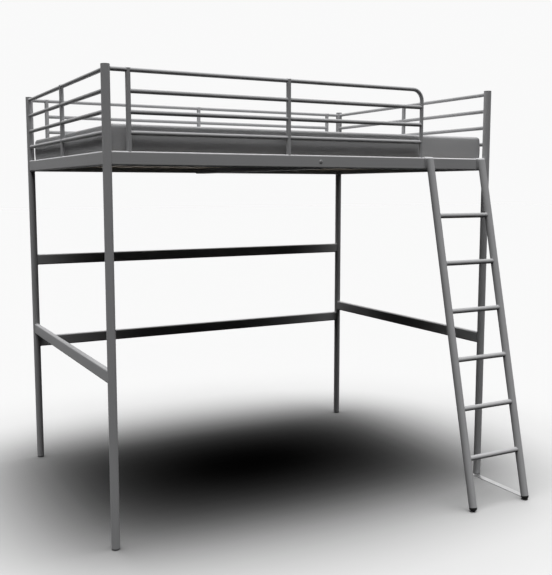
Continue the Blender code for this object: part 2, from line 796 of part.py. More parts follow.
def build_hook(name, x):
    """Plate bent over the side rail: down its front behind the stile, and behind it inside."""
    inner = RAIL_THICKNESS / 2 + CLEARANCE
    outer = inner + HOOK_THICKNESS
    inner_top = RAIL_HEIGHT / 2 + CLEARANCE
    outer_top = inner_top + HOOK_THICKNESS
    inner_corner = RAIL_CORNER + CLEARANCE
    outer_corner = inner_corner + HOOK_THICKNESS
    front_end = RAIL_HEIGHT / 2 - HOOK_FRONT_DROP
    rear_end = RAIL_HEIGHT / 2 - HOOK_REAR_DROP
    steps = CORNER_SEGMENTS + 1
    right = math.pi / 2
    outline = [(-outer, front_end)]
    outline += arc((-outer + outer_corner, outer_top - outer_corner), outer_corner, math.pi, right, steps)
    outline += arc((outer - outer_corner, outer_top - outer_corner), outer_corner, right, 0, steps)
    outline += [(outer, rear_end), (inner, rear_end)]
    outline += arc((inner - inner_corner, inner_top - inner_corner), inner_corner, 0, right, steps)
    outline += arc((-inner + inner_corner, inner_top - inner_corner), inner_corner, right, math.pi, steps)
    outline += [(-inner, front_end)]
    hook = on_ladder(flat_outline(name, outline, [], HOOK_WIDTH, paint))
    hook.location = (x, 0, RAIL_CENTRE_Z)
    hook.rotation_euler = (math.pi / 2, 0, math.pi / 2)


def build_foot(name, x, below):
    """Rounded end cap with a plug inside the stile, cut flat where it stands."""
    plug = STILE_DIAMETER / 2 - STILE_WALL - CLEARANCE
    profile = [(0, PLUG_LENGTH), (plug, PLUG_LENGTH), (plug, 0)]
    profile += arc((0, 0), FOOT_RADIUS, 0, -math.pi / 2, FOOT_ARC_STEPS)
    profile[-1] = (0, -FOOT_RADIUS)
    foot = on_ladder(turned_piece(name, profile, FOOT_STEPS, rubber))
    foot.location = stile_point(x, FOOT_CENTRE_Z)
    foot.rotation_euler.x = -LADDER_LEAN
    cut_with(foot, below)


def build_floor_stay():
    """Flat bar on the floor: its rounded end carries the post, its eye holds the ladder's foot."""
    post = (0, 0)
    foot = (STILE_SPACING / 2 - LADDER_INSET, -LADDER_REACH)
    foot_rim = STAY_FOOT_HOLE_RADIUS + STAY_FOOT_RIM
    low_x = -STAY_INSET - STAY_WIDTH / 2
    high_x = -STAY_INSET + STAY_WIDTH / 2
    eighth = math.pi / 4
    near_y = low_x + POST_RADIUS / math.cos(eighth)
    far_y = foot[1] + STAY_END_GAP
    meets_bar = -math.acos(high_x / POST_RADIUS)
    outline = arc(post, POST_RADIUS, meets_bar, 3 * eighth, STAY_ARC_STEPS)
    outline += [(low_x, near_y), (low_x, far_y)]
    outline += arc(foot, foot_rim, 3 * eighth, 8 * eighth, STAY_ARC_STEPS)
    outline += [(high_x, far_y + STAY_END_GAP)]
    hole = circle(foot, STAY_FOOT_HOLE_RADIUS, STAY_ARC_STEPS)
    stay = flat_outline("floor_stay", outline, [hole], STAY_THICKNESS, steel)
    stay.location = (RIGHT_X, FRONT_Y, STAY_THICKNESS / 2)


clear_scene()
parts = make_collection("loft_bed")
cutters = make_collection("cutters")
paint = make_finish("silver grey paint", (0.3, 0.3, 0.31), 0.4, 0.6)
plastic = make_finish("dark grey plastic", (0.07, 0.07, 0.075), 0.5, 0)
rubber = make_finish("black rubber", (0.02, 0.02, 0.02), 0.8, 0)
steel = make_finish("pale steel", (0.55, 0.55, 0.56), 0.35, 0.8)
timber = make_finish("slat timber", (0.55, 0.42, 0.28), 0.6, 0)
fabric = make_finish("grey mattress fabric", (0.22, 0.22, 0.23), 0.9, 0)

ladder = bpy.data.objects.new("ladder_lift", None)
ladder.location = (LADDER_X, FRONT_Y, 0)
parts.objects.link(ladder)

around_posts = build_post_cutters()
around_rails = build_rail_cutters()
build_posts()
build_rails_and_stretchers(around_posts)
build_cross_beam()
build_slat_panel("left", -1)
build_slat_panel("right", 1)
build_mattress()
build_front_guard(around_posts, around_rails)
build_rear_guard(around_posts, around_rails)
build_end_guard("left", LEFT_X, around_posts, around_rails)
build_end_guard("right", RIGHT_X, around_posts, around_rails)
build_ladder()
build_floor_stay()
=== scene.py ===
"""Looks of the metal loft bed: painted tubes, weld beads, slats, mattress, ladder and light.

Metres, +Z up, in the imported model's own frame. Places come from the boxes of the CAD nodes;
the sizes below are those of sections, edges and small forms.
"""

import math

import bmesh
import bpy
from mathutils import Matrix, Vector, noise


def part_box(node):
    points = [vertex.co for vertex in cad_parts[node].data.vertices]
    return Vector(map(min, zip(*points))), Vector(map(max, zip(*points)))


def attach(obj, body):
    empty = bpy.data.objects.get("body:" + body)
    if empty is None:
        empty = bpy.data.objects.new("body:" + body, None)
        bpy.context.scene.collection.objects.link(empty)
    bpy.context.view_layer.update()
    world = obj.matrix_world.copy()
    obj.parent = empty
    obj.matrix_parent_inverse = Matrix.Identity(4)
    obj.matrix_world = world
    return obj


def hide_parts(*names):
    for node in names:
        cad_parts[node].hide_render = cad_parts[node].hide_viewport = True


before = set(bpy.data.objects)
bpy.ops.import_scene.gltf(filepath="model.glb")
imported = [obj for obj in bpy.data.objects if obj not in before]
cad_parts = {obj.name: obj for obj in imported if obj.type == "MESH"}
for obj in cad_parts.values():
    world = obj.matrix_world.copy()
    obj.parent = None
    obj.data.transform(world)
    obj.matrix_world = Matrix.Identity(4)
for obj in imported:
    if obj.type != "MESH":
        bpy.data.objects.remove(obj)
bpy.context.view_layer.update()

# Directions and angles
UP = Vector((0, 0, 1))
ALONG_X = Vector((1, 0, 0))
ALONG_Y = Vector((0, 1, 0))
QUARTER = math.pi / 2
STEEP = 0.9

# Tubes
POST_RADIUS = 0.019
GUARD_RADIUS = 0.0095
UPRIGHT_RADIUS = 0.011
STILE_RADIUS = 0.019
RUNG_RADIUS = 0.0125
RAIL_THICKNESS = 0.025
RAIL_CORNER = 0.007
TUBE_WALL = 0.0015
BEND_RADIUS = 0.055
GUARD_LEVELS = 4

# How finely round forms are drawn, and how far beside them an extra row of points lies
WIDE_SIDES = 64
FINE_SIDES = 48
CORNER_STEPS = 8
BEND_STEPS = 24
BEND_LEAD = 0.003
FLAT_LEAD = 0.00135

# Ends of pieces: how far a welded end reaches into its neighbour, and the broken edges
WELD_REACH = 0.006
EDGE_BREAK = 0.0004
UPRIGHT_EDGE = 0.0006
CLEARANCE = 0.0003
CUT_TOLERANCE = 1e-7

# Caps and glides of the posts
PLASTIC_EDGE = 0.0012
PLASTIC_STEPS = 4
PLASTIC_LIP = 0.0006
CAP_BREAK = 0.0002
GLIDE_INSET = 0.001
GLIDE_NECK = 0.003

# Weld beads
WELD_SINK = 0.0001
POST_WELD = 0.0028
GUARD_WELD = 0.0013
LEG_WELD = 0.00104
UPRIGHT_WELD = 0.0012
RUNG_WELD = 0.0024
HOOK_WELD = 0.003
WELD_STEPS = 4
WELD_FULLNESS = 0.8
WELD_RIPPLE = 0.00012
RIPPLE_ROWS = 3
WELD_WIDEST_SINE = 0.98
WELD_ROUND_SHARE = 0.995
RAIL_SIDE_GAP = 0.00005

# Ladder
RUNG_COUNT = 6
HOOK_WIDTH = 0.054
HOOK_THICKNESS = 0.003
HOOK_FRONT_DROP = 0.055
HOOK_REAR_DROP = 0.0205
HOOK_CORNER = 0.006
HOOK_CORNER_COLUMNS = (0, 0.001, 0.0026, HOOK_CORNER)
HOOK_CORNER_GAP = 0.001
HOOK_TAPER = 0.006
HOOK_EDGE = 0.0006
HOOK_FRONT_ROWS = 6
HOOK_BEND_STEPS = 12
HOOK_REAR_ROWS = 4
HOOK_WELD_LOW_GAP = 0.0015
HOOK_WELD_HIGH_GAP = 0.002
HOOK_WELD_STEPS = 24
HOOK_WELD_END = 0.15
HOOK_WELD_GROWTH = 4
STILE_TOP_DROP = 0.006
STILE_TOP_SETBACK = 0.018
STILE_OVERRUN = 0.02
STILE_EDGE = 0.0008
LADDER_REACH = 0.405
FOOT_RADIUS = 0.0195
FOOT_FLAT_DEPTH = 0.0005
FOOT_COLLAR_INSET = 0.003
FOOT_COLLAR_RISE = 0.0002
FOOT_EDGE = 0.0004
FOOT_ARC_GAP = 0.03
FOOT_STEPS = 24

# Slats and their screws
SLAT_WIDTH = 0.055
SLAT_COUNT = 7
SLAT_EDGE = 0.0018
BATTEN_EDGE = 0.0015
BOARD_EDGE_STEPS = 3
PANEL_END_WIDTH = 0.04
PANEL_SIDE_WIDTH = 0.03
PANEL_CORNER_CUT = 0.01
LAP = 0.0003
TONE_SPAN = 10
SLAT_TONE_STEP = 3.7
RIGHT_PANEL_TONE = 5.3
BATTEN_TONES = (2, 6.1)
SCREW_SIDES = 24
SCREW_RADIUS = 0.0035
SCREW_EDGE = 0.0004
SCREW_RISE = 0.00015
SCREW_RECESS_RADIUS = 0.0013
SCREW_RECESS_DEPTH = 0.0012

# Beam and its bolts
BEAM_HEIGHT = 0.03
BEAM_PLATE_WIDTH = 0.036
BEAM_PLATE_HEIGHT = 0.052
BEAM_PLATE_THICKNESS = 0.003
BEAM_PLATE_EDGE = 0.0006
BOLT_DOME_STEPS = 7
BOLT_RADIUS = 0.008
BOLT_HEIGHT = 0.0028
BOLT_SHOULDER = 0.0012
BOLT_SOCKET = 0.0016
BOLT_FLAT = 0.0008
BOLT_LIP = 0.0006
BOLT_SOCKET_EDGE = 0.0002
BOLT_SOCKET_DEPTH = 0.0022
BOLT_GAP = 0.00005
BOLT_RISE = 0.001

# Floor stay
STAY_WIDTH = 0.034
STAY_INSET = 0.022
STAY_LEFT_NECK = 0.03
STAY_RIGHT_NECK = 0.06
STAY_RIM = 0.0004
STAY_RIM_STEPS = 2
STAY_EYE_WALL = 0.004
STAY_ARC_STEPS = 40
STAY_HOLE_STEPS = 48
STAY_JOIN = 0.00001
STAY_COAT_MARGIN = 0.001

# Mattress cover, its seam and its swelling
COVER_STEP = 0.014
COVER_PLAN_CORNER = 0.009
COVER_PLAN_STEPS = 4
COVER_LEAST_CORNER = 0.002
COVER_TOP_EDGE = 0.017
COVER_BOTTOM_EDGE = 0.018
COVER_EDGE_STEPS = 6
COVER_SIDE_STEPS = 8
COVER_BULGE = 0.0022
COVER_START_INSET = 0.003
COVER_TOP_ROOM = 0.007
COVER_END_ROOM = 0.009
COVER_CROWN = 0.004
COVER_DRAW_IN = 0.002
COVER_UNEVENNESS = 0.0006
COVER_LUMPS = Vector((5, 5, 9))
COVER_LEVEL_PART = 0.01
SEAM_HEIGHT = 0.017
SEAM_DEPTH = 0.0016
SEAM_WIDTH = 0.004
SEAM_BAND = 0.97
PUFF_PRESSURE = 4.0
PUFF_QUALITY = 4
PUFF_FRAMES = 20
PUFF_SIDE_CAP = 0.0022
PUFF_TOP_CAP = 0.005

# Colours and looks of the materials; most values of a noise lie in NOISE_SPAN
PAINT_COOL = (0.375, 0.377, 0.386)
PAINT_WARM = (0.425, 0.425, 0.430)
PAINT_FLAKE = (0.47, 0.47, 0.475)
# lighter paint of worn edges, also used as a painted highlight on the rails' corners and the hooks'
# up-facing bends
PAINT_WEAR_AND_HIGHLIGHT = (0.73, 0.73, 0.74)
PAINT_GLOSS = 0.02
WORN_EDGE = 0.0012
EDGE_TURN = (0.97, 0.75)
EDGE_SAMPLES = 4
# weld colours: the darker one is painted shade in the bead's hollows
WELD_HOLLOW_SHADE = (0.33, 0.33, 0.34)
WELD_LIGHT = (0.43, 0.43, 0.435)
PLASTIC_DARK = (0.145, 0.145, 0.15)
PLASTIC_LIGHT = (0.19, 0.19, 0.195)
RUBBER_DARK = (0.009, 0.009, 0.009)
RUBBER_LIGHT = (0.022, 0.021, 0.021)
TIMBER_LIGHT = (0.56, 0.48, 0.38)
TIMBER_DARK = (0.42, 0.34, 0.25)
TIMBER_FIBRE = (0.63, 0.56, 0.46)
TIMBER_PALE_BOARD = (0.63, 0.56, 0.47)
TIMBER_RINGS = 7
KNIT_DARK = (0.435, 0.435, 0.443)
KNIT_LIGHT = (0.475, 0.475, 0.481)
KNIT_YARN = (0.575, 0.575, 0.58)
# darker colour for the stitches' hollows: painted shade
KNIT_HOLLOW_SHADE = (0.27, 0.27, 0.275)
STEEL_DARK = (0.43, 0.43, 0.435)
STEEL_LIGHT = (0.55, 0.55, 0.555)
STEEL_STAIN = (0.38, 0.375, 0.37)
NOISE_SPAN = (0.3, 0.7)

# Camera of the photograph, from the fit to the bed's posts and rails
IMAGE_WIDTH = 552
IMAGE_HEIGHT = 575
FOCAL_PIXELS = 832.65
CAMERA_PLACE = (-2.0516, -3.8863, 1.5570)
CAMERA_YAW = 28.206
CAMERA_PITCH = 6.537
PRINCIPAL_POINT = (273.96, 283.60)
SENSOR = 36

# Light and floor
SUN_STRENGTH = 6.05
SUN_ANGLE = 76
AMBIENT = 0.008
BACKGROUND = 0.951
WHITE = (1, 1, 1)
BLACK = (0, 0, 0)
FLOOR_COLOUR = (0.492, 0.492, 0.492)
FLOOR_BOUNCE = (0.005, 0.005, 0.005)
FLOOR_ROUGHNESS = 0.9
FLOOR_EDGE = 60
FLOOR_DROP = 0.0005
# painted shadow of the floor: the sky share hidden by a grown, shifted rectangle SHADE_HEIGHT above
# it, mapped to darkness
SHADE_EDGE = 4.0
SHADE_STEP = 0.1
SHADE_HEIGHT = 0.441
SHADE_GROWTH_X = 0.213
SHADE_GROWTH_Y = 0.156
SHADE_SHIFT_Y = 0.043
HIDDEN_LEAST = 0.0617
HIDDEN_MOST = 0.8706
SHADE_POWER = 1.225


def middle(node):
    low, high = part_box(node)
    return (low + high) / 2


RAIL_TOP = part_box("side_rail_front")[1].z
RAIL_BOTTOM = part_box("side_rail_front")[0].z
RAIL_MIDDLE = (RAIL_TOP + RAIL_BOTTOM) / 2
LEFT_X = middle("post_front_left").x
RIGHT_X = middle("post_front_right").x
FRONT_Y = middle("post_front_left").y
REAR_Y = middle("post_rear_left").y
MIDDLE_Y = (FRONT_Y + REAR_Y) / 2
CORNERS = {
    "front_left": (LEFT_X, FRONT_Y),
    "front_right": (RIGHT_X, FRONT_Y),
    "rear_left": (LEFT_X, REAR_Y),
    "rear_right": (RIGHT_X, REAR_Y),
}
SIDES = {
    "front": ("front_left", "front_right"),
    "rear": ("rear_left", "rear_right"),
    "left": ("front_left", "rear_left"),
    "right": ("front_right", "rear_right"),
}
UPRIGHTS = {
    "front": ["guard_front_upright_left", "guard_front_upright_middle"],
    "rear": ["guard_rear_upright_left", "guard_rear_upright_middle", "guard_rear_upright_right"],
    "left": ["guard_left_upright"],
    "right": ["guard_right_upright"],
}


# Node materials


def new_material(name):
    material = bpy.data.materials.new(name)
    material.use_nodes = True
    return material, material.node_tree


def feed(tree, node, inputs):
    """Gives each named input its source: another node's socket, a colour or a plain value."""
    for key, value in inputs.items():
        socket = node.inputs[key]
        if isinstance(value, bpy.types.NodeSocket):
            tree.links.new(value, socket)
        elif socket.type == "RGBA":
            socket.default_value = (*value, 1)
        else:
            socket.default_value = value


def add_node(tree, kind, inputs=None, **settings):
    made = tree.nodes.new(f"ShaderNode{kind}")
    for key, value in settings.items():
        setattr(made, key, value)
    feed(tree, made, inputs or {})
    return made


def place_nodes(tree, scale=(1, 1, 1)):
    """Object coordinates stretched by scale, so that patterns have their real size."""
    coordinates = add_node(tree, "TexCoord")
    inputs = {"Vector": coordinates.outputs["Object"], "Scale": scale}
    return add_node(tree, "Mapping", inputs).outputs["Vector"]


def noise_nodes(tree, vector, scale, detail=3, roughness=0.5, distortion=0):
    inputs = {"Vector": vector, "Scale": scale, "Detail": detail}
    inputs |= {"Roughness": roughness, "Distortion": distortion}
    return add_node(tree, "TexNoise", inputs).outputs["Fac"]


def wave_nodes(tree, vector, scale, direction):
    inputs = {"Vector": vector, "Scale": scale, "Distortion": 0.4, "Detail Scale": 3}
    return add_node(tree, "TexWave", inputs, bands_direction=direction).outputs["Fac"]


def range_nodes(tree, value, source, target=(0, 1)):
    """Stretches the source range of a value to the target range, and stops at its ends."""
    inputs = {"Value": value, "From Min": source[0], "From Max": source[1]}
    inputs |= {"To Min": target[0], "To Max": target[1]}
    return add_node(tree, "MapRange", inputs).outputs["Result"]


def math_nodes(tree, operation, first, second=0):
    return add_node(tree, "Math", {0: first, 1: second}, operation=operation).outputs["Value"]


def mix_nodes(tree, amount, first, second):
    """Colour between two colours; each is a plain colour or a socket."""
    inputs = {"Factor": amount, 6: first, 7: second}
    return add_node(tree, "Mix", inputs, data_type="RGBA").outputs[2]


def edge_nodes(tree, radius):
    """1 on an outer edge and 0 on open surface, from how far a rounded normal turns."""
    rounded = add_node(tree, "Bevel", {"Radius": radius}, samples=EDGE_SAMPLES)
    plain = add_node(tree, "NewGeometry")
    normals = {0: rounded.outputs["Normal"], 1: plain.outputs["Normal"]}
    likeness = add_node(tree, "VectorMath", normals, operation="DOT_PRODUCT")
    return range_nodes(tree, likeness.outputs["Value"], EDGE_TURN)


def finish(tree, colour, roughness, gloss, relief=None, depth=0.0):
    """Links a material's colour, shine and fine relief to its shader, and returns the shader."""
    shader = tree.nodes["Principled BSDF"]
    feed(tree, shader, {"Base Color": colour, "Roughness": roughness, "Specular IOR Level": gloss})
    if relief:
        bump = add_node(tree, "Bump", {"Height": relief, "Distance": depth, "Strength": 1})
        feed(tree, shader, {"Normal": bump.outputs["Normal"]})
    return shader


def make_paint():
    """Satin silver-grey powder coat: fine orange peel, faint flake, worn edges and painted highlights.
    """
    material, tree = new_material("silver_grey_paint")
    place = place_nodes(tree)
    cloud = noise_nodes(tree, place, scale=3.5)
    flake = noise_nodes(tree, place, scale=1900, detail=1)
    peel = noise_nodes(tree, place, scale=520, detail=2)
    scuff = noise_nodes(tree, place, scale=38, detail=4, roughness=0.65)
    base = mix_nodes(tree, cloud, PAINT_COOL, PAINT_WARM)
    flaked = mix_nodes(tree, range_nodes(tree, flake, NOISE_SPAN, (0, 0.5)), base, PAINT_FLAKE)
    worn = math_nodes(tree, "MULTIPLY", edge_nodes(tree, WORN_EDGE), scuff)
    worn = range_nodes(tree, worn, (0.25, 0.75), (0, 0.55))
    # lighter paint where the corner mark is set: on the rails partly wear and partly a painted
    # highlight, on the hooks a painted highlight
    corner = add_node(tree, "Attribute", attribute_name="wear_and_highlight").outputs["Fac"]
    wear_and_highlight_share = math_nodes(tree, "MULTIPLY", corner, range_nodes(tree, scuff, NOISE_SPAN, (0.5, 1)))
    colour = mix_nodes(tree, math_nodes(tree, "MAXIMUM", worn, wear_and_highlight_share), flaked, PAINT_WEAR_AND_HIGHLIGHT)
    roughness = range_nodes(tree, scuff, (0.25, 0.75), (0.46, 0.60))
    finish(tree, colour, roughness, PAINT_GLOSS, peel, depth=0.00006)
    return material


def make_weld():
    """The same paint over a weld: thicker and rippled, with painted shade that darkens its hollows a
    little.
    """
    material, tree = new_material("painted_weld")
    lump = noise_nodes(tree, place_nodes(tree), scale=420)
    # the low parts of the lump, which are also the bump's hollows, take the darker colour: painted
    # shade
    colour = mix_nodes(tree, lump, WELD_HOLLOW_SHADE, WELD_LIGHT)
    roughness = range_nodes(tree, lump, NOISE_SPAN, (0.48, 0.62))
    finish(tree, colour, roughness, PAINT_GLOSS, lump, depth=0.0003)
    return material


def make_moulded(name, dark, light, grain, roughness, gloss, depth):
    """Moulded plastic or rubber with a fine pitted skin and a little dust."""
    material, tree = new_material(name)
    place = place_nodes(tree)
    pits = noise_nodes(tree, place, scale=grain, detail=2)
    dust = noise_nodes(tree, place, scale=60, detail=4, roughness=0.6)
    colour = mix_nodes(tree, dust, dark, light)
    finish(tree, colour, range_nodes(tree, dust, NOISE_SPAN, roughness), gloss, pits, depth)
    return material


def make_timber(name, scale):
    """Planed softwood; scale is small along the grain, so that the grain runs that way."""
    material, tree = new_material(name)
    tone = add_node(tree, "Attribute", attribute_name="tone")
    shift = {0: place_nodes(tree, scale), 1: tone.outputs["Vector"]}
    shifted = add_node(tree, "VectorMath", shift, operation="ADD").outputs["Vector"]
    rings = noise_nodes(tree, shifted, scale=1, distortion=0.6)
    bands = math_nodes(tree, "FRACT", math_nodes(tree, "MULTIPLY", rings, TIMBER_RINGS))
    fibre = noise_nodes(tree, shifted, scale=14)
    base = mix_nodes(tree, bands, TIMBER_LIGHT, TIMBER_DARK)
    fibred = mix_nodes(tree, range_nodes(tree, fibre, (0.35, 0.75), (0, 0.35)), base, TIMBER_FIBRE)
    board = range_nodes(tree, tone.outputs["Fac"], (0, TONE_SPAN), (0, 0.4))
    colour = mix_nodes(tree, board, fibred, TIMBER_PALE_BOARD)
    roughness = range_nodes(tree, fibre, NOISE_SPAN, (0.5, 0.68))
    finish(tree, colour, roughness, gloss=0.1, relief=fibre, depth=0.0002)
    return material


def make_fabric():
    """Plain knitted mattress cover: rows of small stitches with painted shade in their hollows,
    melange yarn and a soft sheen.
    """
    material, tree = new_material("mattress_knit")
    place = place_nodes(tree)
    columns = wave_nodes(tree, place, scale=230, direction="X")
    rows = wave_nodes(tree, place, scale=200, direction="DIAGONAL")
    stitch = math_nodes(tree, "MULTIPLY", columns, rows)
    yarn = noise_nodes(tree, place, scale=700, roughness=0.6)
    soil = noise_nodes(tree, place, scale=4)
    base = mix_nodes(tree, soil, KNIT_DARK, KNIT_LIGHT)
    marled = mix_nodes(tree, range_nodes(tree, yarn, (0.35, 0.65), (0, 0.45)), base, KNIT_YARN)
    # the low parts of the stitches get the darker colour: painted shade
    hollow_shade = range_nodes(tree, stitch, (0, 0.6), (0.35, 0))
    colour = mix_nodes(tree, hollow_shade, marled, KNIT_HOLLOW_SHADE)
    roughness = range_nodes(tree, yarn, NOISE_SPAN, (0.85, 0.95))
    height = math_nodes(tree, "ADD", stitch, math_nodes(tree, "MULTIPLY", yarn, 0.4))
    shader = finish(tree, colour, roughness, gloss=0.2, relief=height, depth=0.0004)
    feed(tree, shader, {"Sheen Weight": 0.1, "Sheen Roughness": 0.5})
    return material


def make_steel(name, scale):
    """Bright bar with brushing along its length and faint stains."""
    material, tree = new_material(name)
    lines = noise_nodes(tree, place_nodes(tree, scale), scale=1, roughness=0.7)
    stain = noise_nodes(tree, place_nodes(tree), scale=25)
    base = mix_nodes(tree, lines, STEEL_DARK, STEEL_LIGHT)
    colour = mix_nodes(tree, range_nodes(tree, stain, (0.45, 0.8), (0, 0.5)), base, STEEL_STAIN)
    roughness = range_nodes(tree, lines, NOISE_SPAN, (0.28, 0.42))
    shader = finish(tree, colour, roughness, gloss=0.5, relief=lines, depth=0.00005)
    feed(tree, shader, {"Metallic": 1})
    return material


paint = make_paint()
weld_paint = make_weld()
plastic = make_moulded("grey_plastic", PLASTIC_DARK, PLASTIC_LIGHT, 1400, (0.45, 0.58), 0.15, 0.00008)
rubber = make_moulded("black_rubber", RUBBER_DARK, RUBBER_LIGHT, 900, (0.68, 0.82), 0.2, 0.00015)
timber_y = make_timber("slat_timber_long", (26, 0.9, 26))
timber_x = make_timber("batten_timber", (0.9, 26, 26))
fabric = make_fabric()
stay_steel = make_steel("stay_bar_steel", (1500, 12, 1500))
bolt_steel = make_steel("bolt_steel", (300, 300, 300))


# Meshes


def clamp(value, low, high):
    return max(low, min(high, value))


def unit(angle):
    return Vector((math.cos(angle), math.sin(angle)))


def add_object(name, data):
    made = bpy.data.objects.new(name, data)
    bpy.context.scene.collection.objects.link(made)
    return made


def add_piece(name, bm, material, body, replaces=(), sharp=35):
    mesh = bpy.data.meshes.new(name)
    bmesh.ops.recalc_face_normals(bm, faces=bm.faces)
    bm.to_mesh(mesh)
    bm.free()
    mesh.shade_smooth()
    mesh.set_sharp_from_angle(angle=math.radians(sharp))
    mesh.materials.append(material)
    piece = add_object(name, mesh)
    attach(piece, body)
    if replaces:
        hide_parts(*replaces)
    return piece


def add_tube(node, bm, body="frame"):
    return add_piece(f"{node}_tube", bm, paint, body, [node])


def soften_edges(piece, width, segments=2, angle=50):
    bevel = piece.modifiers.new("broken edges", "BEVEL")
    bevel.width = width
    bevel.segments = segments
    bevel.limit_method = "ANGLE"
    bevel.angle_limit = math.radians(angle)


def arc_points(centre, radius, start, end, steps):
    angles = [start + (end - start) * i / steps for i in range(steps + 1)]
    return [(centre[0] + radius * math.cos(a), centre[1] + radius * math.sin(a)) for a in angles]


def round_outline(radius, sides):
    """Points of a circle, each with its outward normal."""
    normals = [unit(math.tau * i / sides) for i in range(sides)]
    return [(normal * radius, normal) for normal in normals]


def section_outline(width, height):
    """Rectangle with rounded corners; one more point beside each arc keeps the flats flat."""
    made = []
    inner_x = width / 2 - RAIL_CORNER
    inner_y = height / 2 - RAIL_CORNER
    for quarter, (sign_x, sign_y) in enumerate(((1, 1), (-1, 1), (-1, -1), (1, -1))):
        centre = Vector((sign_x * inner_x, sign_y * inner_y))
        for step in range(CORNER_STEPS + 1):
            normal = unit(QUARTER * (quarter + step / CORNER_STEPS))
            point = centre + normal * RAIL_CORNER
            lead = Vector((-normal.y, normal.x)) * FLAT_LEAD
            if step == 0:
                made.append((point - lead, normal))
            made.append((point, normal))
            if step == CORNER_STEPS:
                made.append((point + lead, normal))
    return made


def add_ring(bm, outline, centre, across, upward, inset=0.0):
    ring = []
    for point, normal in outline:
        flat = point - normal * inset
        ring.append(bm.verts.new(centre + across * flat.x + upward * flat.y))
    return ring


def join_rows(bm, rows):
    """Quads between each row of vertices and the next one."""
    for first, second in zip(rows, rows[1:]):
        for i in range(len(first) - 1):
            bm.faces.new((first[i], first[i + 1], second[i + 1], second[i]))


def skin(bm, rings, capped=True):
    """Joins each ring to the next one and, where capped, fills the first and the last."""
    join_rows(bm, [[*ring, ring[0]] for ring in rings])
    if capped:
        bm.faces.new(rings[0])
        bm.faces.new(rings[-1])


def axes_for(along):
    """Two axes square to along; the second is upright wherever along is level."""
    helper = UP if abs(along.z) < STEEP else ALONG_Y
    across = helper.cross(along).normalized()
    return across, along.cross(across).normalized()


def make_bar(outline, start, end, wall=0.0):
    """Straight bar or tube of an outline from start to end, with its end edges broken."""
    bm = bmesh.new()
    start = Vector(start)
    end = Vector(end)
    along = (end - start).normalized()
    across, upward = axes_for(along)
    lead = along * EDGE_BREAK
    stations = [(start, EDGE_BREAK), (start + lead, 0), (end - lead, 0), (end, EDGE_BREAK)]
    if wall:
        stations += [(end, wall), (start, wall)]
    rings = [add_ring(bm, outline, place, across, upward, inset) for place, inset in stations]
    if wall:
        rings.append(rings[0])
    skin(bm, rings, capped=not wall)
    return bm


def turn(bm, profile, origin, along, sides):
    """Solid of revolution from (radius, distance along) pairs, closed flat at both ends."""
    across, upward = axes_for(along)
    rings = []
    for radius, distance in profile:
        place = Vector(origin) + along * distance
        rings.append(add_ring(bm, round_outline(radius, sides), place, across, upward))
    skin(bm, rings)


def trim(bm, point, normal):
    """Cuts away what lies on the normal's side of a plane and closes the cut."""
    everything = [*bm.verts, *bm.edges, *bm.faces]
    cut = bmesh.ops.bisect_plane(
        bm, geom=everything, plane_co=point, plane_no=normal, clear_outer=True, dist=CUT_TOLERANCE
    )
    edges = [e for e in cut["geom_cut"] if isinstance(e, bmesh.types.BMEdge)]
    bmesh.ops.holes_fill(bm, edges=edges, sides=0)


def add_box(bm, low, high):
    """Adds a box between two corners and returns its vertices."""
    made = bmesh.ops.create_cube(bm, size=1)["verts"]
    low = Vector(low)
    high = Vector(high)
    bmesh.ops.scale(bm, vec=high - low, verts=made)
    bmesh.ops.translate(bm, vec=(low + high) / 2, verts=made)
    return made


# Weld beads


def add_bead(bm, rows, closed=True):
    """A bead from (on the tube, in the corner, on the neighbour) triples along a joint."""
    lines = []
    for index, (tube, corner, neighbour) in enumerate(rows):
        outward = (tube + neighbour) / 2 - corner
        ripple = WELD_RIPPLE * math.sin(math.tau * index / RIPPLE_ROWS)
        control = corner + outward * WELD_FULLNESS + outward.normalized() * ripple
        line = []
        for step in range(WELD_STEPS + 1):
            t = step / WELD_STEPS
            point = tube * (1 - t) ** 2 + control * 2 * t * (1 - t) + neighbour * t * t
            line.append(bm.verts.new(point))
        lines.append(line)
    if closed:
        lines.append(lines[0])
    join_rows(bm, lines)


def weld_to_tube(bm, outline, radius, width, origin, along, axis=UP):
    """Bead where a bar of that outline, leaving along, meets a round tube with that axis."""
    across = axis.cross(along).normalized()

    def place(u, v, w):
        return Vector(origin) + along * u + across * v + axis * w

    rows = []
    for point, normal in outline:
        angle = math.asin(clamp(point.x / radius, -WELD_WIDEST_SINE, WELD_WIDEST_SINE))
        depth = radius * math.cos(angle)
        sunk = point - normal * WELD_SINK
        low = radius - WELD_SINK
        far_angle = angle + normal.x * width / radius
        far_height = point.y + normal.y * width
        tube = place(depth + width, sunk.x, sunk.y)
        corner = place(depth, point.x, point.y)
        neighbour = place(low * math.cos(far_angle), low * math.sin(far_angle), far_height)
        rows.append((tube, corner, neighbour))
    add_bead(bm, rows)


def make_strut(outline, start, end, radius, welds, width, axis=UP):
    """Bar between the axes of two round tubes of that radius, with a bead at each end."""
    along = (end - start).normalized()
    weld_to_tube(welds, outline, radius, width, start, along, axis)
    weld_to_tube(welds, outline, radius, width, end, -along, axis)
    inside = along * (radius - WELD_REACH)
    return make_bar(outline, start + inside, end - inside)


def weld_guard(radius, width, place, way):
    """Bead where a guard rail, leaving that way, meets an upright tube of that radius."""
    weld_to_tube(frame_welds, GUARD_OUTLINE, radius, width, place, way)


def weld_through(place, along):
    """Beads on both sides of an upright that a guard rail passes."""
    for way in (along, -along):
        weld_guard(UPRIGHT_RADIUS, UPRIGHT_WELD, place, way)


def rail_top_drop(across):
    """How far a rail's upper surface lies below its top, by the distance from its middle."""
    beyond = abs(across) - (RAIL_THICKNESS / 2 - RAIL_CORNER)
    beyond = clamp(beyond, 0, RAIL_CORNER * WELD_ROUND_SHARE)
    return RAIL_CORNER - math.sqrt(RAIL_CORNER**2 - beyond**2)


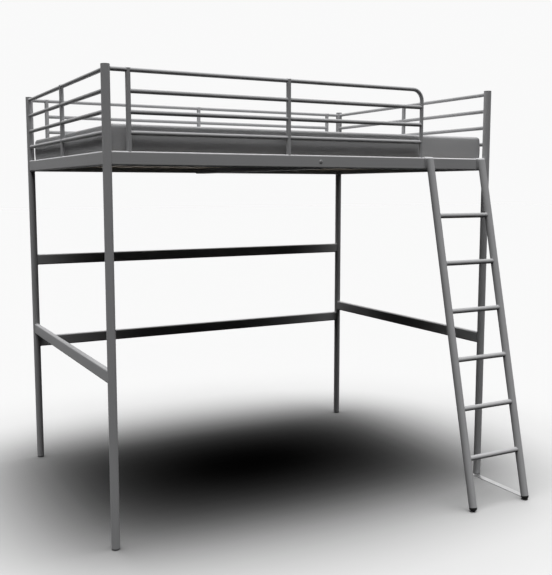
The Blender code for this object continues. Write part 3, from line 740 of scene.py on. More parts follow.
def weld_on_rail(radius, width, x, y, along_y=False):
    """Bead round the foot of an upright that stands on a side or end rail."""
    rows = []
    widest = RAIL_THICKNESS / 2 - RAIL_SIDE_GAP
    for point, normal in round_outline(radius, FINE_SIDES):
        grown = point + normal * width
        grown.y = clamp(grown.y, -widest, widest)
        sunk = point - normal * WELD_SINK
        surface = RAIL_TOP - rail_top_drop(point.y)
        heights = (surface + width, surface, RAIL_TOP - rail_top_drop(grown.y) - WELD_SINK)
        row = []
        for flat, z in zip((sunk, point, grown), heights):
            step = flat.yx if along_y else flat
            row.append(Vector((x + step.x, y + step.y, z)))
        rows.append(row)
    add_bead(frame_welds, rows)


GUARD_OUTLINE = round_outline(GUARD_RADIUS, FINE_SIDES)
RUNG_OUTLINE = round_outline(RUNG_RADIUS, FINE_SIDES)
frame_welds = bmesh.new()
ladder_welds = bmesh.new()


# Posts with their caps and glides


def cap_profile(height):
    """Flat cap from its joint up, its upper edge rounded."""
    inner = POST_RADIUS - PLASTIC_EDGE
    made = [(POST_RADIUS - CAP_BREAK, 0), (POST_RADIUS, CAP_BREAK)]
    made += arc_points((inner, height - PLASTIC_EDGE), PLASTIC_EDGE, 0, QUARTER, PLASTIC_STEPS)
    return [*made, (inner - PLASTIC_LIP, height)]


def glide_profile(height):
    """Glide from the floor up, its lower edge rounded and its neck inside the post."""
    radius = POST_RADIUS - GLIDE_INSET
    inner = radius - PLASTIC_EDGE
    made = [(inner - PLASTIC_LIP, 0)]
    made += arc_points((inner, PLASTIC_EDGE), PLASTIC_EDGE, -QUARTER, 0, PLASTIC_STEPS)
    return [*made, (radius, height), (POST_RADIUS - GLIDE_NECK, height + GLIDE_NECK)]


def build_posts():
    for corner, (x, y) in CORNERS.items():
        low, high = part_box(f"post_{corner}")
        bm = make_bar(round_outline(POST_RADIUS, WIDE_SIDES), (x, y, low.z), (x, y, high.z))
        add_piece(f"post_tube_{corner}", bm, paint, "frame", [f"post_{corner}"])
        joint = high.z + CLEARANCE
        cap = cap_profile(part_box(f"post_cap_{corner}")[1].z - joint)
        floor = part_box(f"post_glide_{corner}")[0].z
        glide = glide_profile(low.z - floor)
        for kind, profile, z in (("cap", cap, joint), ("glide", glide, floor)):
            bm = bmesh.new()
            turn(bm, profile, (x, y, z), UP, WIDE_SIDES)
            add_piece(f"{kind}_{corner}", bm, plastic, "frame", [f"post_{kind}_{corner}"])


# Side rails, end rails and stretchers


def mark_corner_wear_and_highlight(bm, start, end, height):
    """Marks how far round a corner each point lies, 1 in its middle, for lighter paint: partly wear,
    partly painted highlight.
    """
    layer = bm.verts.layers.float.new("wear_and_highlight")
    along = (end - start).normalized()
    side = Vector((-along.y, along.x, 0))
    for vertex in bm.verts:
        offset = vertex.co - start
        across = abs(offset.dot(side)) - (RAIL_THICKNESS / 2 - RAIL_CORNER)
        upward = abs(offset.z) - (height / 2 - RAIL_CORNER)
        if across > 0 and upward > 0:
            vertex[layer] = min(1.0, 2 * min(across, upward) / RAIL_CORNER)


def build_sections():
    """Flat-sided tubes from post to post, welded round both ends."""
    sides = {
        "side_rail_front": "front",
        "side_rail_rear": "rear",
        "end_rail_left": "left",
        "end_rail_right": "right",
        "stretcher_rear_upper": "rear",
        "stretcher_rear_lower": "rear",
        "stretcher_left_end": "left",
        "stretcher_right_end": "right",
    }
    for node, side in sides.items():
        low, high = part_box(node)
        height = high.z - low.z
        start, end = (Vector((*CORNERS[corner], (low.z + high.z) / 2)) for corner in SIDES[side])
        outline = section_outline(RAIL_THICKNESS, height)
        bm = make_strut(outline, start, end, POST_RADIUS, frame_welds, POST_WELD)
        # the rails' rounded corners get lighter paint: partly wear, partly a painted highlight of
        # their lit edges
        if "rail" in node:
            mark_corner_wear_and_highlight(bm, start, end, height)
        add_tube(node, bm)


# Guard rails and their uprights


def moved_to(point, axis, value):
    """The point with its place on one axis changed to value."""
    made = point.copy()
    made[axis] = value
    return made


def build_straight_guards():
    """Every straight guard rail, with a bead where it meets a post, an upright or the leg."""
    leg = (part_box("guard_front_rail_1")[1].x - GUARD_RADIUS, GUARD_RADIUS, LEG_WELD)
    for side, nodes in UPRIGHTS.items():
        axis = 1 if side in ("left", "right") else 0
        along = (ALONG_X, ALONG_Y)[axis]
        uprights = [(middle(node)[axis], UPRIGHT_RADIUS, GUARD_WELD) for node in nodes]
        posts = [(CORNERS[corner][axis], POST_RADIUS, GUARD_WELD) for corner in SIDES[side]]
        for level in range(1, GUARD_LEVELS + 1):
            node = f"guard_{side}_rail_{level}"
            if node == "guard_front_rail_1":
                continue
            joints = [posts[0], *uprights, posts[1]]
            if level > 1 and side == "rear":
                joints = uprights
            elif level > 1 and side == "front":
                joints = [*uprights, leg]
            low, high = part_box(node)
            centre = (low + high) / 2
            start = moved_to(centre, axis, low[axis]) - along * WELD_REACH
            end = moved_to(centre, axis, high[axis]) + along * WELD_REACH
            add_tube(node, make_bar(GUARD_OUTLINE, start, end))
            for (place, radius, width), way in ((joints[0], along), (joints[-1], -along)):
                weld_guard(radius, width, moved_to(centre, axis, place), way)
            for place, _, _ in joints[1:-1]:
                weld_through(moved_to(centre, axis, place), along)


def build_uprights():
    """Round uprights with broken edges, each welded to the rail that it stands on."""
    for side, nodes in UPRIGHTS.items():
        for node in nodes:
            low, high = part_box(node)
            x, y = middle(node).xy
            top = high.z - low.z
            profile = [(UPRIGHT_RADIUS - EDGE_BREAK, 0), (UPRIGHT_RADIUS, EDGE_BREAK)]
            profile += [(UPRIGHT_RADIUS, top - UPRIGHT_EDGE), (UPRIGHT_RADIUS - UPRIGHT_EDGE, top)]
            bm = bmesh.new()
            turn(bm, profile, (x, y, low.z), UP, FINE_SIDES)
            add_tube(node, bm)
            weld_on_rail(UPRIGHT_RADIUS, UPRIGHT_WELD, x, y, along_y=side in ("left", "right"))


def build_bent_guard():
    """Top guard rail of the front, bent down at its right end into a leg on the side rail."""
    node = "guard_front_rail_1"
    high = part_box(node)[1]
    z = high.z - GUARD_RADIUS
    leg_x = high.x - GUARD_RADIUS
    start = Vector((LEFT_X + POST_RADIUS - WELD_REACH, FRONT_Y, z))
    bend = Vector((leg_x - BEND_RADIUS, FRONT_Y, z - BEND_RADIUS))
    foot = Vector((leg_x, FRONT_Y, RAIL_TOP - WELD_REACH))
    across = -ALONG_Y
    bm = bmesh.new()
    rings = [add_ring(bm, GUARD_OUTLINE, start, across, UP)]
    for step in range(-1, BEND_STEPS + 2):
        on_bend = clamp(step, 0, BEND_STEPS)
        angle = QUARTER * on_bend / BEND_STEPS
        outward = Vector((math.sin(angle), 0, math.cos(angle)))
        along = Vector((math.cos(angle), 0, -math.sin(angle)))
        place = bend + outward * BEND_RADIUS + along * BEND_LEAD * (step - on_bend)
        rings.append(add_ring(bm, GUARD_OUTLINE, place, across, outward))
    rings.append(add_ring(bm, GUARD_OUTLINE, foot, across, ALONG_X))
    skin(bm, rings)
    add_tube(node, bm)
    weld_guard(POST_RADIUS, GUARD_WELD, (LEFT_X, FRONT_Y, z), ALONG_X)
    weld_on_rail(GUARD_RADIUS, GUARD_WELD, leg_x, FRONT_Y)
    for upright in UPRIGHTS["front"]:
        weld_through((middle(upright).x, FRONT_Y, z), ALONG_X)


# Cross beam, its plates and bolts


def build_beam():
    low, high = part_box("cross_beam")
    inset = BEAM_PLATE_THICKNESS / 2
    z = low.z + BEAM_HEIGHT / 2
    outline = section_outline(high.x - low.x, BEAM_HEIGHT)
    bm = make_bar(outline, (0, low.y + inset, z), (0, high.y - inset, z), wall=TUBE_WALL)
    add_tube("cross_beam", bm)
    half = BEAM_PLATE_WIDTH / 2
    bottom = high.z - BEAM_PLATE_HEIGHT
    bm = bmesh.new()
    for near in (low.y, high.y - BEAM_PLATE_THICKNESS):
        add_box(bm, (-half, near, bottom), (half, near + BEAM_PLATE_THICKNESS, high.z))
    plates = add_piece("cross_beam_plates", bm, paint, "frame", ["cross_beam"])
    soften_edges(plates, BEAM_PLATE_EDGE)


def add_bolt(bm, place, outward):
    """Low domed head with a six-sided socket."""
    across, upward = axes_for(outward)
    flat = BOLT_SOCKET + BOLT_FLAT
    levels = [(BOLT_RADIUS, 0, False), (BOLT_RADIUS, BOLT_SHOULDER, False)]
    for step in range(1, BOLT_DOME_STEPS):
        slope = unit(QUARTER * step / BOLT_DOME_STEPS)
        height = BOLT_SHOULDER + (BOLT_HEIGHT - BOLT_SHOULDER) * slope.y
        levels.append((flat + (BOLT_RADIUS - flat) * slope.x, height, False))
    levels.append((BOLT_SOCKET + BOLT_LIP, BOLT_HEIGHT, False))
    levels.append((BOLT_SOCKET, BOLT_HEIGHT - BOLT_SOCKET_EDGE, True))
    levels.append((BOLT_SOCKET, BOLT_HEIGHT - BOLT_SOCKET_DEPTH, True))
    half_side = math.pi / 6
    rings = []
    for radius, height, six_sided in levels:
        outline = []
        for i in range(FINE_SIDES):
            angle = math.tau * i / FINE_SIDES
            reach = radius
            if six_sided:
                reach *= math.cos(half_side) / math.cos(angle % (2 * half_side) - half_side)
            outline.append((unit(angle) * reach, unit(angle)))
        rings.append(add_ring(bm, outline, place + outward * height, across, upward))
    skin(bm, rings)


def build_bolts():
    """A bolt's head on the outer face of each side rail, where the beam's plates are."""
    bm = bmesh.new()
    reach = RAIL_THICKNESS / 2 + BOLT_GAP
    z = RAIL_MIDDLE + BOLT_RISE
    add_bolt(bm, Vector((0, FRONT_Y - reach, z)), -ALONG_Y)
    add_bolt(bm, Vector((0, REAR_Y + reach, z)), ALONG_Y)
    add_piece("cross_beam_bolts", bm, paint, "frame")


# Slatted base

SCREW_HEAD = [
    (SCREW_RADIUS, -SCREW_EDGE),
    (SCREW_RADIUS, 0),
    (SCREW_RADIUS - SCREW_EDGE, SCREW_RISE),
    (SCREW_RECESS_RADIUS, SCREW_RISE),
    (SCREW_RECESS_RADIUS - SCREW_EDGE, -SCREW_RECESS_DEPTH),
]


def board_spans(inner_x, outer_x):
    """Distances from the bed's middle between which the end boards and the slats lie."""
    gap = (outer_x - inner_x - 2 * PANEL_END_WIDTH - SLAT_COUNT * SLAT_WIDTH) / (SLAT_COUNT + 1)
    spans = [(inner_x, inner_x + PANEL_END_WIDTH)]
    for i in range(SLAT_COUNT):
        start = inner_x + PANEL_END_WIDTH + gap + i * (gap + SLAT_WIDTH)
        spans.append((start, start + SLAT_WIDTH))
    return [*spans, (outer_x - PANEL_END_WIDTH, outer_x)]


def add_boards(name, boards, material, edge, node):
    """One piece of several boards; each has its corners and a tone that shifts grain and shade."""
    bm = bmesh.new()
    layer = bm.verts.layers.float.new("tone")
    for low, high, tone in boards:
        for vertex in add_box(bm, low, high):
            vertex[layer] = tone
    piece = add_piece(name, bm, material, "frame", [node])
    soften_edges(piece, edge, BOARD_EDGE_STEPS)


def build_slats(side, direction):
    """One panel: end boards, slats let into two battens, and a screw in every slat's end."""
    node = f"slat_panel_{side}"
    low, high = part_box(node)
    inner_x, outer_x = sorted((abs(low.x), abs(high.x)))
    spans = board_spans(inner_x, outer_x)
    screws = bmesh.new()
    slats = []
    for index, span in enumerate(spans):
        left, right = sorted(direction * x for x in span)
        cut = PANEL_CORNER_CUT if index == len(spans) - 1 else 0
        tone = SLAT_TONE_STEP * index + (RIGHT_PANEL_TONE if direction > 0 else 0)
        corners = ((left, low.y + cut, low.z + LAP), (right, high.y - cut, high.z))
        slats.append((*corners, tone % TONE_SPAN))
        for y in (low.y + PANEL_SIDE_WIDTH / 2, high.y - PANEL_SIDE_WIDTH / 2):
            turn(screws, SCREW_HEAD, ((left + right) / 2, y, high.z), UP, SCREW_SIDES)
    battens = []
    left, right = sorted((direction * inner_x, direction * (outer_x - PANEL_CORNER_CUT)))
    for y, tone in zip((low.y, high.y - PANEL_SIDE_WIDTH), BATTEN_TONES):
        battens.append(((left, y, low.z), (right, y + PANEL_SIDE_WIDTH, high.z - LAP), tone))
    add_boards(f"slats_{side}", slats, timber_y, SLAT_EDGE, node)
    add_boards(f"battens_{side}", battens, timber_x, BATTEN_EDGE, node)
    add_piece(f"slat_screws_{side}", screws, bolt_steel, "frame")


# Mattress


def rounded_plan(x, y, half_x, half_y, corner):
    """Moves a point of a rectangle so that the rectangle's corners become round."""
    inner_x = half_x - corner
    inner_y = half_y - corner
    dx = max(0.0, abs(x) - inner_x)
    dy = max(0.0, abs(y) - inner_y)
    if dx == 0 or dy == 0:
        return x, y
    scale = max(dx, dy) / math.hypot(dx, dy)
    return math.copysign(inner_x + dx * scale, x), math.copysign(inner_y + dy * scale, y)


def grid_values(half):
    """Positions from -half to half: close together in the rounded ends, even between."""
    corner = COVER_PLAN_CORNER
    inner = half - corner
    count = round(2 * inner / COVER_STEP)
    between = [-inner + 2 * inner * i / count for i in range(count + 1)]
    left = [-half + corner * i / COVER_PLAN_STEPS for i in range(COVER_PLAN_STEPS)]
    return left + between + [-v for v in reversed(left)]


def mattress_levels(bottom, top):
    """Heights, each with its inset: a round edge, a side that bulges and another round edge."""
    levels = []
    quarter_turn = [QUARTER * i / COVER_EDGE_STEPS for i in range(COVER_EDGE_STEPS + 1)]
    for angle in quarter_turn:
        inset = COVER_BULGE + COVER_BOTTOM_EDGE * (1 - math.sin(angle))
        levels.append((bottom + COVER_BOTTOM_EDGE * (1 - math.cos(angle)), inset))
    straight = top - COVER_TOP_EDGE - bottom - COVER_BOTTOM_EDGE
    for i in range(1, COVER_SIDE_STEPS):
        inset = COVER_BULGE * (2 * i / COVER_SIDE_STEPS - 1) ** 2
        levels.append((bottom + COVER_BOTTOM_EDGE + straight * i / COVER_SIDE_STEPS, inset))
    for angle in quarter_turn:
        inset = COVER_BULGE + COVER_TOP_EDGE * (1 - math.cos(angle))
        levels.append((top - COVER_TOP_EDGE * (1 - math.sin(angle)), inset))
    return levels


def mattress_cage(half_x, half_y, bottom, top):
    """Closed grid of quads: rounded in plan, with a full rounded edge above and below."""
    xs = grid_values(half_x)
    ys = grid_values(half_y)
    levels = mattress_levels(bottom, top)
    rim = [(x, ys[0]) for x in xs[:-1]] + [(xs[-1], y) for y in ys[:-1]]
    rim += [(x, ys[-1]) for x in reversed(xs[1:])] + [(xs[0], y) for y in reversed(ys[1:])]

    def settle(x, y, z, inset):
        narrow_x = half_x - inset
        narrow_y = half_y - inset
        corner = max(COVER_LEAST_CORNER, COVER_PLAN_CORNER - inset / 2)
        px, py = rounded_plan(x * narrow_x / half_x, y * narrow_y / half_y, narrow_x, narrow_y, corner)
        draw_x = COVER_DRAW_IN * (1 - (py / half_y) ** 2) * (px / half_x) ** 4
        draw_y = COVER_DRAW_IN * (1 - (px / half_x) ** 2) * (py / half_y) ** 4
        return Vector((px - math.copysign(draw_x, px), py - math.copysign(draw_y, py) + MIDDLE_Y, z))

    bm = bmesh.new()
    rings = []
    for z, inset in levels:
        rings.append([bm.verts.new(settle(x, y, z, inset)) for x, y in rim])
    skin(bm, rings, capped=False)
    for end, crown in ((0, 0), (-1, COVER_CROWN)):
        z, inset = levels[end]
        grid = dict(zip(rim, rings[end]))
        for x in xs:
            for y in ys:
                if (x, y) not in grid:
                    rise = crown * (1 - (x / half_x) ** 4) * (1 - (y / half_y) ** 4)
                    grid[x, y] = bm.verts.new(settle(x, y, z + rise, inset))
        for x0, x1 in zip(xs, xs[1:]):
            for y0, y1 in zip(ys, ys[1:]):
                bm.faces.new((grid[x0, y0], grid[x1, y0], grid[x1, y1], grid[x0, y1]))
    return bm


def puff_up(piece):
    """Cloth pressure swells the cover for a few frames; the swell is then scaled to its caps."""
    start = [v.co.copy() for v in piece.data.vertices]
    cloth = piece.modifiers.new("swell", "CLOTH")
    cloth.settings.use_pressure = True
    cloth.settings.uniform_pressure_force = PUFF_PRESSURE
    cloth.settings.effector_weights.gravity = 0
    cloth.settings.quality = PUFF_QUALITY
    cloth.collision_settings.use_collision = False
    cloth.point_cache.frame_start = 1
    cloth.point_cache.frame_end = PUFF_FRAMES
    scene = bpy.context.scene
    for number in range(1, PUFF_FRAMES + 1):
        scene.frame_set(number)
    swollen = piece.evaluated_get(bpy.context.evaluated_depsgraph_get()).data
    steps = [after.co - before for before, after in zip(start, swollen.vertices)]
    piece.modifiers.remove(cloth)
    scene.frame_set(1)
    side_most = max(max(abs(step.x), abs(step.y)) for step in steps)
    top_most = max(abs(step.z) for step in steps)
    side_share = min(1.0, PUFF_SIDE_CAP / side_most)
    top_share = min(1.0, PUFF_TOP_CAP / top_most)
    for vertex, before, step in zip(piece.data.vertices, start, steps):
        vertex.co = before + Vector((step.x * side_share, step.y * side_share, step.z * top_share))
    piece.data.update()


def settle_mattress(piece, half_x, half_y, bottom, top):
    """Keeps the swollen cover off the slats, the rails and the hooks, and sinks its sewn seam."""
    seam_z = bottom + SEAM_HEIGHT
    for vertex in piece.data.vertices:
        co = vertex.co
        co.x = clamp(co.x, -half_x, half_x)
        co.y = clamp(co.y, MIDDLE_Y - half_y, MIDDLE_Y + half_y)
        co.z = clamp(co.z, bottom, top)
        soft = noise.noise(co * COVER_LUMPS)
        if co.z > bottom + COVER_LEVEL_PART:
            co.z = min(top, co.z + COVER_UNEVENNESS * soft)
        outward = Vector((co.x / half_x, (co.y - MIDDLE_Y) / half_y, 0))
        if max(abs(outward.x), abs(outward.y)) > SEAM_BAND:
            depth = SEAM_DEPTH * math.exp(-((co.z - seam_z) / SEAM_WIDTH) ** 2)
            co -= outward.normalized() * depth
    piece.data.update()


def build_mattress():
    low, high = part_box("mattress")
    half_x = (high.x - low.x) / 2 + COVER_END_ROOM
    half_y = (high.y - low.y) / 2
    inset = COVER_START_INSET
    bottom = low.z
    top = high.z + COVER_TOP_ROOM
    bm = mattress_cage(half_x - inset, half_y - inset, bottom, top - inset)
    piece = add_piece("mattress_cover", bm, fabric, "mattress", ["mattress"], sharp=180)
    puff_up(piece)
    settle_mattress(piece, half_x, half_y, bottom, top)
    smooth = piece.modifiers.new("smooth", "SUBSURF")
    smooth.levels = 1
    smooth.render_levels = 1


# Ladder

HOOK_FACE = RAIL_THICKNESS / 2 + CLEARANCE + HOOK_THICKNESS + CLEARANCE
FOOT_Z = FOOT_RADIUS - FOOT_FLAT_DEPTH
LEAN = math.atan2(LADDER_REACH - STILE_TOP_SETBACK, RAIL_TOP - FOOT_Z)
STILE_WAY = Vector((0, math.sin(LEAN), math.cos(LEAN)))


def stile_point(x, z):
    return Vector((x, FRONT_Y - LADDER_REACH + (z - FOOT_Z) * math.tan(LEAN), z))


def stile_half_width(y, z):
    """Half the width of the cut that an upright plane at y makes through a stile, at height z."""
    depth = (y - stile_point(0, z).y) * math.cos(LEAN)
    return math.sqrt(max(0.0, STILE_RADIUS**2 - depth**2))


def build_stile(side):
    """Leaning tube cut flat against its hook, with a bead along both sides of the cut."""
    node = f"ladder_stile_{side}"
    x = middle(node).x
    foot = stile_point(x, FOOT_Z)
    length = (RAIL_TOP + STILE_OVERRUN - FOOT_Z) / math.cos(LEAN)
    face_y = FRONT_Y - HOOK_FACE
    outline = round_outline(STILE_RADIUS, WIDE_SIDES)
    bm = make_bar(outline, foot + STILE_WAY * CLEARANCE, foot + STILE_WAY * length)
    trim(bm, (x, FRONT_Y, RAIL_TOP - STILE_TOP_DROP), UP)
    trim(bm, (x, face_y, RAIL_TOP), ALONG_Y)
    soften_edges(add_tube(node, bm, "ladder"), STILE_EDGE, angle=40)
    plate_y = face_y + CLEARANCE
    low_z = RAIL_TOP - HOOK_FRONT_DROP + HOOK_WELD_LOW_GAP
    high_z = RAIL_TOP - STILE_TOP_DROP - HOOK_WELD_HIGH_GAP
    for way in (-1, 1):
        rows = []
        for step in range(HOOK_WELD_STEPS + 1):
            z = low_z + (high_z - low_z) * step / HOOK_WELD_STEPS
            from_end = min(step, HOOK_WELD_STEPS - step) / HOOK_WELD_STEPS
            width = HOOK_WELD * min(1.0, HOOK_WELD_END + HOOK_WELD_GROWTH * from_end)
            half = stile_half_width(face_y, z)
            front_half = stile_half_width(face_y - width, z) - WELD_SINK
            tube = Vector((x + way * front_half, face_y - width, z))
            corner = Vector((x + way * half, plate_y, z))
            neighbour = Vector((x + way * (half + width), plate_y + WELD_SINK, z))
            rows.append((tube, corner, neighbour))
        add_bead(ladder_welds, rows, closed=False)


def build_rungs():
    left = middle("ladder_stile_left").x
    right = middle("ladder_stile_right").x
    for step in range(1, RUNG_COUNT + 1):
        node = f"ladder_rung_{step}"
        z = middle(node).z
        start = stile_point(left, z)
        end = stile_point(right, z)
        bm = make_strut(RUNG_OUTLINE, start, end, STILE_RADIUS, ladder_welds, RUNG_WELD, STILE_WAY)
        add_tube(node, bm, "ladder")


def hook_path(front_end, rear_end):
    """Rows along the plate's middle, from front to rear: (point in YZ, outward normal)."""
    half = RAIL_THICKNESS / 2 + CLEARANCE + HOOK_THICKNESS / 2
    radius = RAIL_CORNER + CLEARANCE + HOOK_THICKNESS / 2
    bend_z = RAIL_TOP - RAIL_MIDDLE + CLEARANCE + HOOK_THICKNESS / 2 - radius
    rows = []
    for i in range(HOOK_FRONT_ROWS):
        rows.append(((-half, front_end + (bend_z - front_end) * i / HOOK_FRONT_ROWS), (-1, 0)))
    for centre, first in ((radius - half, math.pi), (half - radius, QUARTER)):
        for y, z in arc_points((0, 0), 1, first, first - QUARTER, HOOK_BEND_STEPS):
            rows.append(((centre + radius * y, bend_z + radius * z), (y, z)))
    for i in range(1, HOOK_REAR_ROWS + 1):
        rows.append(((half, bend_z + (rear_end - bend_z) * i / HOOK_REAR_ROWS), (1, 0)))
    return rows


def build_hook(side):
    """Plate bent over the side rail, its corners rounded off, its front leg narrowed and its up-facing
    bend painted lighter as a highlight.
    """
    node = f"ladder_hook_{side}"
    origin = Vector((middle(node).x, FRONT_Y, RAIL_MIDDLE))
    front_end = RAIL_TOP - RAIL_MIDDLE - HOOK_FRONT_DROP
    rear_end = RAIL_TOP - RAIL_MIDDLE - HOOK_REAR_DROP
    rows = hook_path(front_end, rear_end)
    bend_z = rows[HOOK_FRONT_ROWS][0][1]
    half = HOOK_WIDTH / 2
    columns = [inset - half for inset in HOOK_CORNER_COLUMNS]
    columns = [*columns, 0, *(-column for column in reversed(columns))]
    count = len(columns)
    bm = bmesh.new()
    wear_and_highlight = bm.verts.layers.float.new("wear_and_highlight")
    rings = []
    for r, ((y, row_z), normal) in enumerate(rows):
        ring = []
        for face, column in [*((-1, c) for c in columns), *((1, c) for c in reversed(columns))]:
            beyond = max(0.0, abs(column) - (half - HOOK_CORNER))
            lift = HOOK_CORNER - math.sqrt(max(0.0, HOOK_CORNER**2 - beyond**2))
            z = row_z
            if r == 0:
                z = front_end + lift
            elif r == 1:
                z = max(z, front_end + HOOK_CORNER + HOOK_CORNER_GAP)
            elif r == len(rows) - 1:
                z = rear_end + lift
            x = column
            if r < HOOK_FRONT_ROWS:
                x -= column * HOOK_TAPER / half * (bend_z - z) / (bend_z - front_end)
            offset = face * HOOK_THICKNESS / 2
            place = Vector((x, y + normal[0] * offset, z + normal[1] * offset))
            ring.append(bm.verts.new(place + origin))
            # the more a point faces up, the lighter its paint: a painted highlight on the bend
            ring[-1][wear_and_highlight] = max(0.0, normal[1]) ** 0.5
        rings.append(ring)
    skin(bm, rings, capped=False)
    for ring in (rings[0], rings[-1]):
        join_rows(bm, (ring[:count], ring[: count - 1 : -1]))
    hook = add_piece(f"{node}_plate", bm, paint, "ladder", [node])
    soften_edges(hook, HOOK_EDGE)


def build_foot(side):
    """Rounded rubber end: a short collar under the tube, then a half ball flat on the floor."""
    node = f"ladder_foot_{side}"
    centre = stile_point(middle(node).x, FOOT_Z)
    ball = arc_points((0, 0), FOOT_RADIUS, FOOT_ARC_GAP, QUARTER - FOOT_ARC_GAP, FOOT_STEPS)
    profile = [(STILE_RADIUS - FOOT_COLLAR_INSET, FOOT_COLLAR_RISE), (FOOT_RADIUS - FOOT_EDGE, 0)]
    profile += [(radius, -distance) for radius, distance in ball]
    bm = bmesh.new()
    turn(bm, profile, centre, STILE_WAY, WIDE_SIDES)
    trim(bm, (*centre.xy, 0), -UP)
    add_piece(f"{node}_cap", bm, rubber, "ladder", [node])


# Floor stay


def stay_rings(foot, eye):
    """The bar's outline and the eye's hole, measured from the post's axis."""
    left = -STAY_INSET - STAY_WIDTH / 2
    right = -STAY_INSET + STAY_WIDTH / 2
    corner = 3 * math.pi / 4
    outline = arc_points((0, 0), POST_RADIUS, -math.acos(right / POST_RADIUS), corner, STAY_ARC_STEPS)
    outline += [(left, left - POST_RADIUS / math.cos(corner)), (left, foot.y + STAY_LEFT_NECK)]
    outline += arc_points(foot, eye, corner, math.tau, STAY_ARC_STEPS)
    outline += [(right, foot.y + STAY_RIGHT_NECK)]
    return outline, arc_points(foot, eye - STAY_EYE_WALL, 0, math.tau, STAY_HOLE_STEPS)[:-1]


def flat_plate(rings, centre, thickness):
    """Plate filled between rings of points, its edges rounded to the stay's rim."""
    curve = bpy.data.curves.new("plate_outline", "CURVE")
    curve.dimensions = "2D"
    curve.fill_mode = "BOTH"
    curve.extrude = thickness / 2 - STAY_RIM
    curve.bevel_depth = STAY_RIM
    curve.bevel_resolution = STAY_RIM_STEPS
    curve.offset = -STAY_RIM
    for ring in rings:
        spline = curve.splines.new("POLY")
        spline.points.add(len(ring) - 1)
        spline.use_cyclic_u = True
        for point, (x, y) in zip(spline.points, ring):
            point.co = (x + centre.x, y + centre.y, 0, 1)
    guide = add_object("plate_outline", curve)
    bpy.context.view_layer.update()
    mesh = bpy.data.meshes.new_from_object(guide.evaluated_get(bpy.context.evaluated_depsgraph_get()))
    bpy.data.objects.remove(guide)
    bm = bmesh.new()
    bm.from_mesh(mesh)
    bmesh.ops.remove_doubles(bm, verts=bm.verts, dist=STAY_JOIN)
    bmesh.ops.translate(bm, vec=(0, 0, centre.z), verts=bm.verts)
    return bm


def build_stay():
    """Flat bar on the floor with a rounded end under the post and an eye round the ladder's foot."""
    low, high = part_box("floor_stay")
    post = Vector((RIGHT_X, FRONT_Y))
    foot = Vector((middle("ladder_stile_right").x - RIGHT_X, -LADDER_REACH))
    eye = foot.y - low.y + FRONT_Y
    centre = Vector((*post, (low.z + high.z) / 2))
    bm = flat_plate(stay_rings(foot, eye), centre, high.z - low.z)
    bar = add_piece("floor_stay_bar", bm, stay_steel, "frame", ["floor_stay"])
    bar.data.materials.append(rubber)
    bar.data.materials.append(paint)
    for face in bar.data.polygons:
        if (face.center.xy - foot - post).length < eye + STAY_COAT_MARGIN:
            face.material_index = 1
        if (face.center.xy - post).length < POST_RADIUS + STAY_COAT_MARGIN:
            face.material_index = 2


# Studio


def light_path_share(tree):
    """1 for rays that show the background: from the camera, in a mirror or through glass."""
    path = add_node(tree, "LightPath")
    shown = math_nodes(tree, "MAXIMUM", path.outputs["Is Camera Ray"], path.outputs["Is Glossy Ray"])
    return math_nodes(tree, "MAXIMUM", shown, path.outputs["Is Transmission Ray"])


def build_world():
    """A bright background for the camera, and almost no light from it on the bed."""
    world = bpy.data.worlds.new("studio")
    bpy.context.scene.world = world
    world.use_nodes = True
    tree = world.node_tree
    shown = tree.nodes["Background"]
    feed(tree, shown, {"Color": WHITE, "Strength": BACKGROUND})
    around = add_node(tree, "Background", {"Color": WHITE, "Strength": AMBIENT})
    inputs = {"Fac": light_path_share(tree), 1: around.outputs[0], 2: shown.outputs[0]}
    mixed = add_node(tree, "MixShader", inputs)
    feed(tree, tree.nodes["World Output"], {"Surface": mixed.outputs["Shader"]})


def hidden_sky(x, y):
    """Share of the sky that a level rectangle under the base hides from a point of the floor."""
    total = 0.0
    for sign_x, edge_x in ((1, RIGHT_X), (-1, LEFT_X)):
        for sign_y, edge_y in ((1, REAR_Y), (-1, FRONT_Y)):
            a = (edge_x + sign_x * SHADE_GROWTH_X - x) / SHADE_HEIGHT
            b = (edge_y + sign_y * SHADE_GROWTH_Y + SHADE_SHIFT_Y - y) / SHADE_HEIGHT
            far_a = math.hypot(1, a)
            far_b = math.hypot(1, b)
            corner = a / far_a * math.atan(b / far_a) + b / far_b * math.atan(a / far_b)
            total += sign_x * sign_y * corner
    return total / math.tau


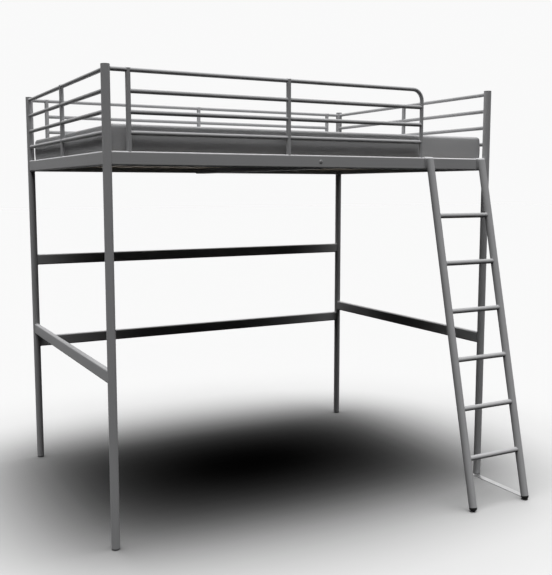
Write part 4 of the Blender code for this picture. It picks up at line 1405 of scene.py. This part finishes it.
def make_floor():
    """Pale and matt, with a painted shadow that darkens it where more of the sky is hidden; it
    reflects hardly any light.
    """
    material, tree = new_material("pale_floor")
    hidden = add_node(tree, "Attribute", attribute_name="hidden").outputs["Fac"]
    # painted shadow: the floor's colour goes towards black as more of the sky is hidden
    open_share = range_nodes(tree, hidden, (HIDDEN_MOST, HIDDEN_LEAST))
    shaded = mix_nodes(tree, math_nodes(tree, "POWER", open_share, SHADE_POWER), BLACK, FLOOR_COLOUR)
    colour = mix_nodes(tree, light_path_share(tree), FLOOR_BOUNCE, shaded)
    finish(tree, colour, FLOOR_ROUGHNESS, gloss=0)
    return material


def build_floor():
    """Plain pale floor with the bed's shadow painted into its colour, deepest where the base hides
    most of the sky.
    """
    count = round(2 * SHADE_EDGE / SHADE_STEP)
    lines = [-SHADE_EDGE + SHADE_STEP * i for i in range(count + 1)]
    lines = [-FLOOR_EDGE, *lines, FLOOR_EDGE]
    bm = bmesh.new()
    layer = bm.verts.layers.float.new("hidden")
    join_rows(bm, [[bm.verts.new((x, y, 0)) for x in lines] for y in lines])
    for vertex in bm.verts:
        vertex[layer] = hidden_sky(vertex.co.x, vertex.co.y)
    mesh = bpy.data.meshes.new("studio_floor")
    bm.to_mesh(mesh)
    bm.free()
    mesh.materials.append(make_floor())
    floor = add_object("studio_floor", mesh)
    floor.location.z = -FLOOR_DROP


def build_light():
    lamp = bpy.data.lights.new("overhead_softbox", "SUN")
    lamp.energy = SUN_STRENGTH
    lamp.angle = math.radians(SUN_ANGLE)
    add_object("overhead_softbox", lamp)


def build_camera():
    data = bpy.data.cameras.new("photo_camera")
    data.sensor_width = SENSOR
    data.lens = SENSOR * FOCAL_PIXELS / IMAGE_HEIGHT
    data.shift_x = (IMAGE_WIDTH / 2 - PRINCIPAL_POINT[0]) / IMAGE_HEIGHT
    data.shift_y = (PRINCIPAL_POINT[1] - IMAGE_HEIGHT / 2) / IMAGE_HEIGHT
    camera = add_object("photo_camera", data)
    camera.location = CAMERA_PLACE
    camera.rotation_euler = (math.radians(90 - CAMERA_PITCH), 0, -math.radians(CAMERA_YAW))
    bpy.context.scene.camera = camera


bpy.context.scene.view_settings.view_transform = "Standard"
build_camera()
build_world()
build_floor()
build_light()

build_posts()
build_sections()
build_straight_guards()
build_uprights()
build_bent_guard()
build_beam()
build_bolts()
build_slats("left", -1)
build_slats("right", 1)
build_mattress()
for side in ("left", "right"):
    build_stile(side)
    build_hook(side)
    build_foot(side)
build_rungs()
build_stay()
add_piece("frame_welds", frame_welds, weld_paint, "frame")
add_piece("ladder_welds", ladder_welds, weld_paint, "ladder")
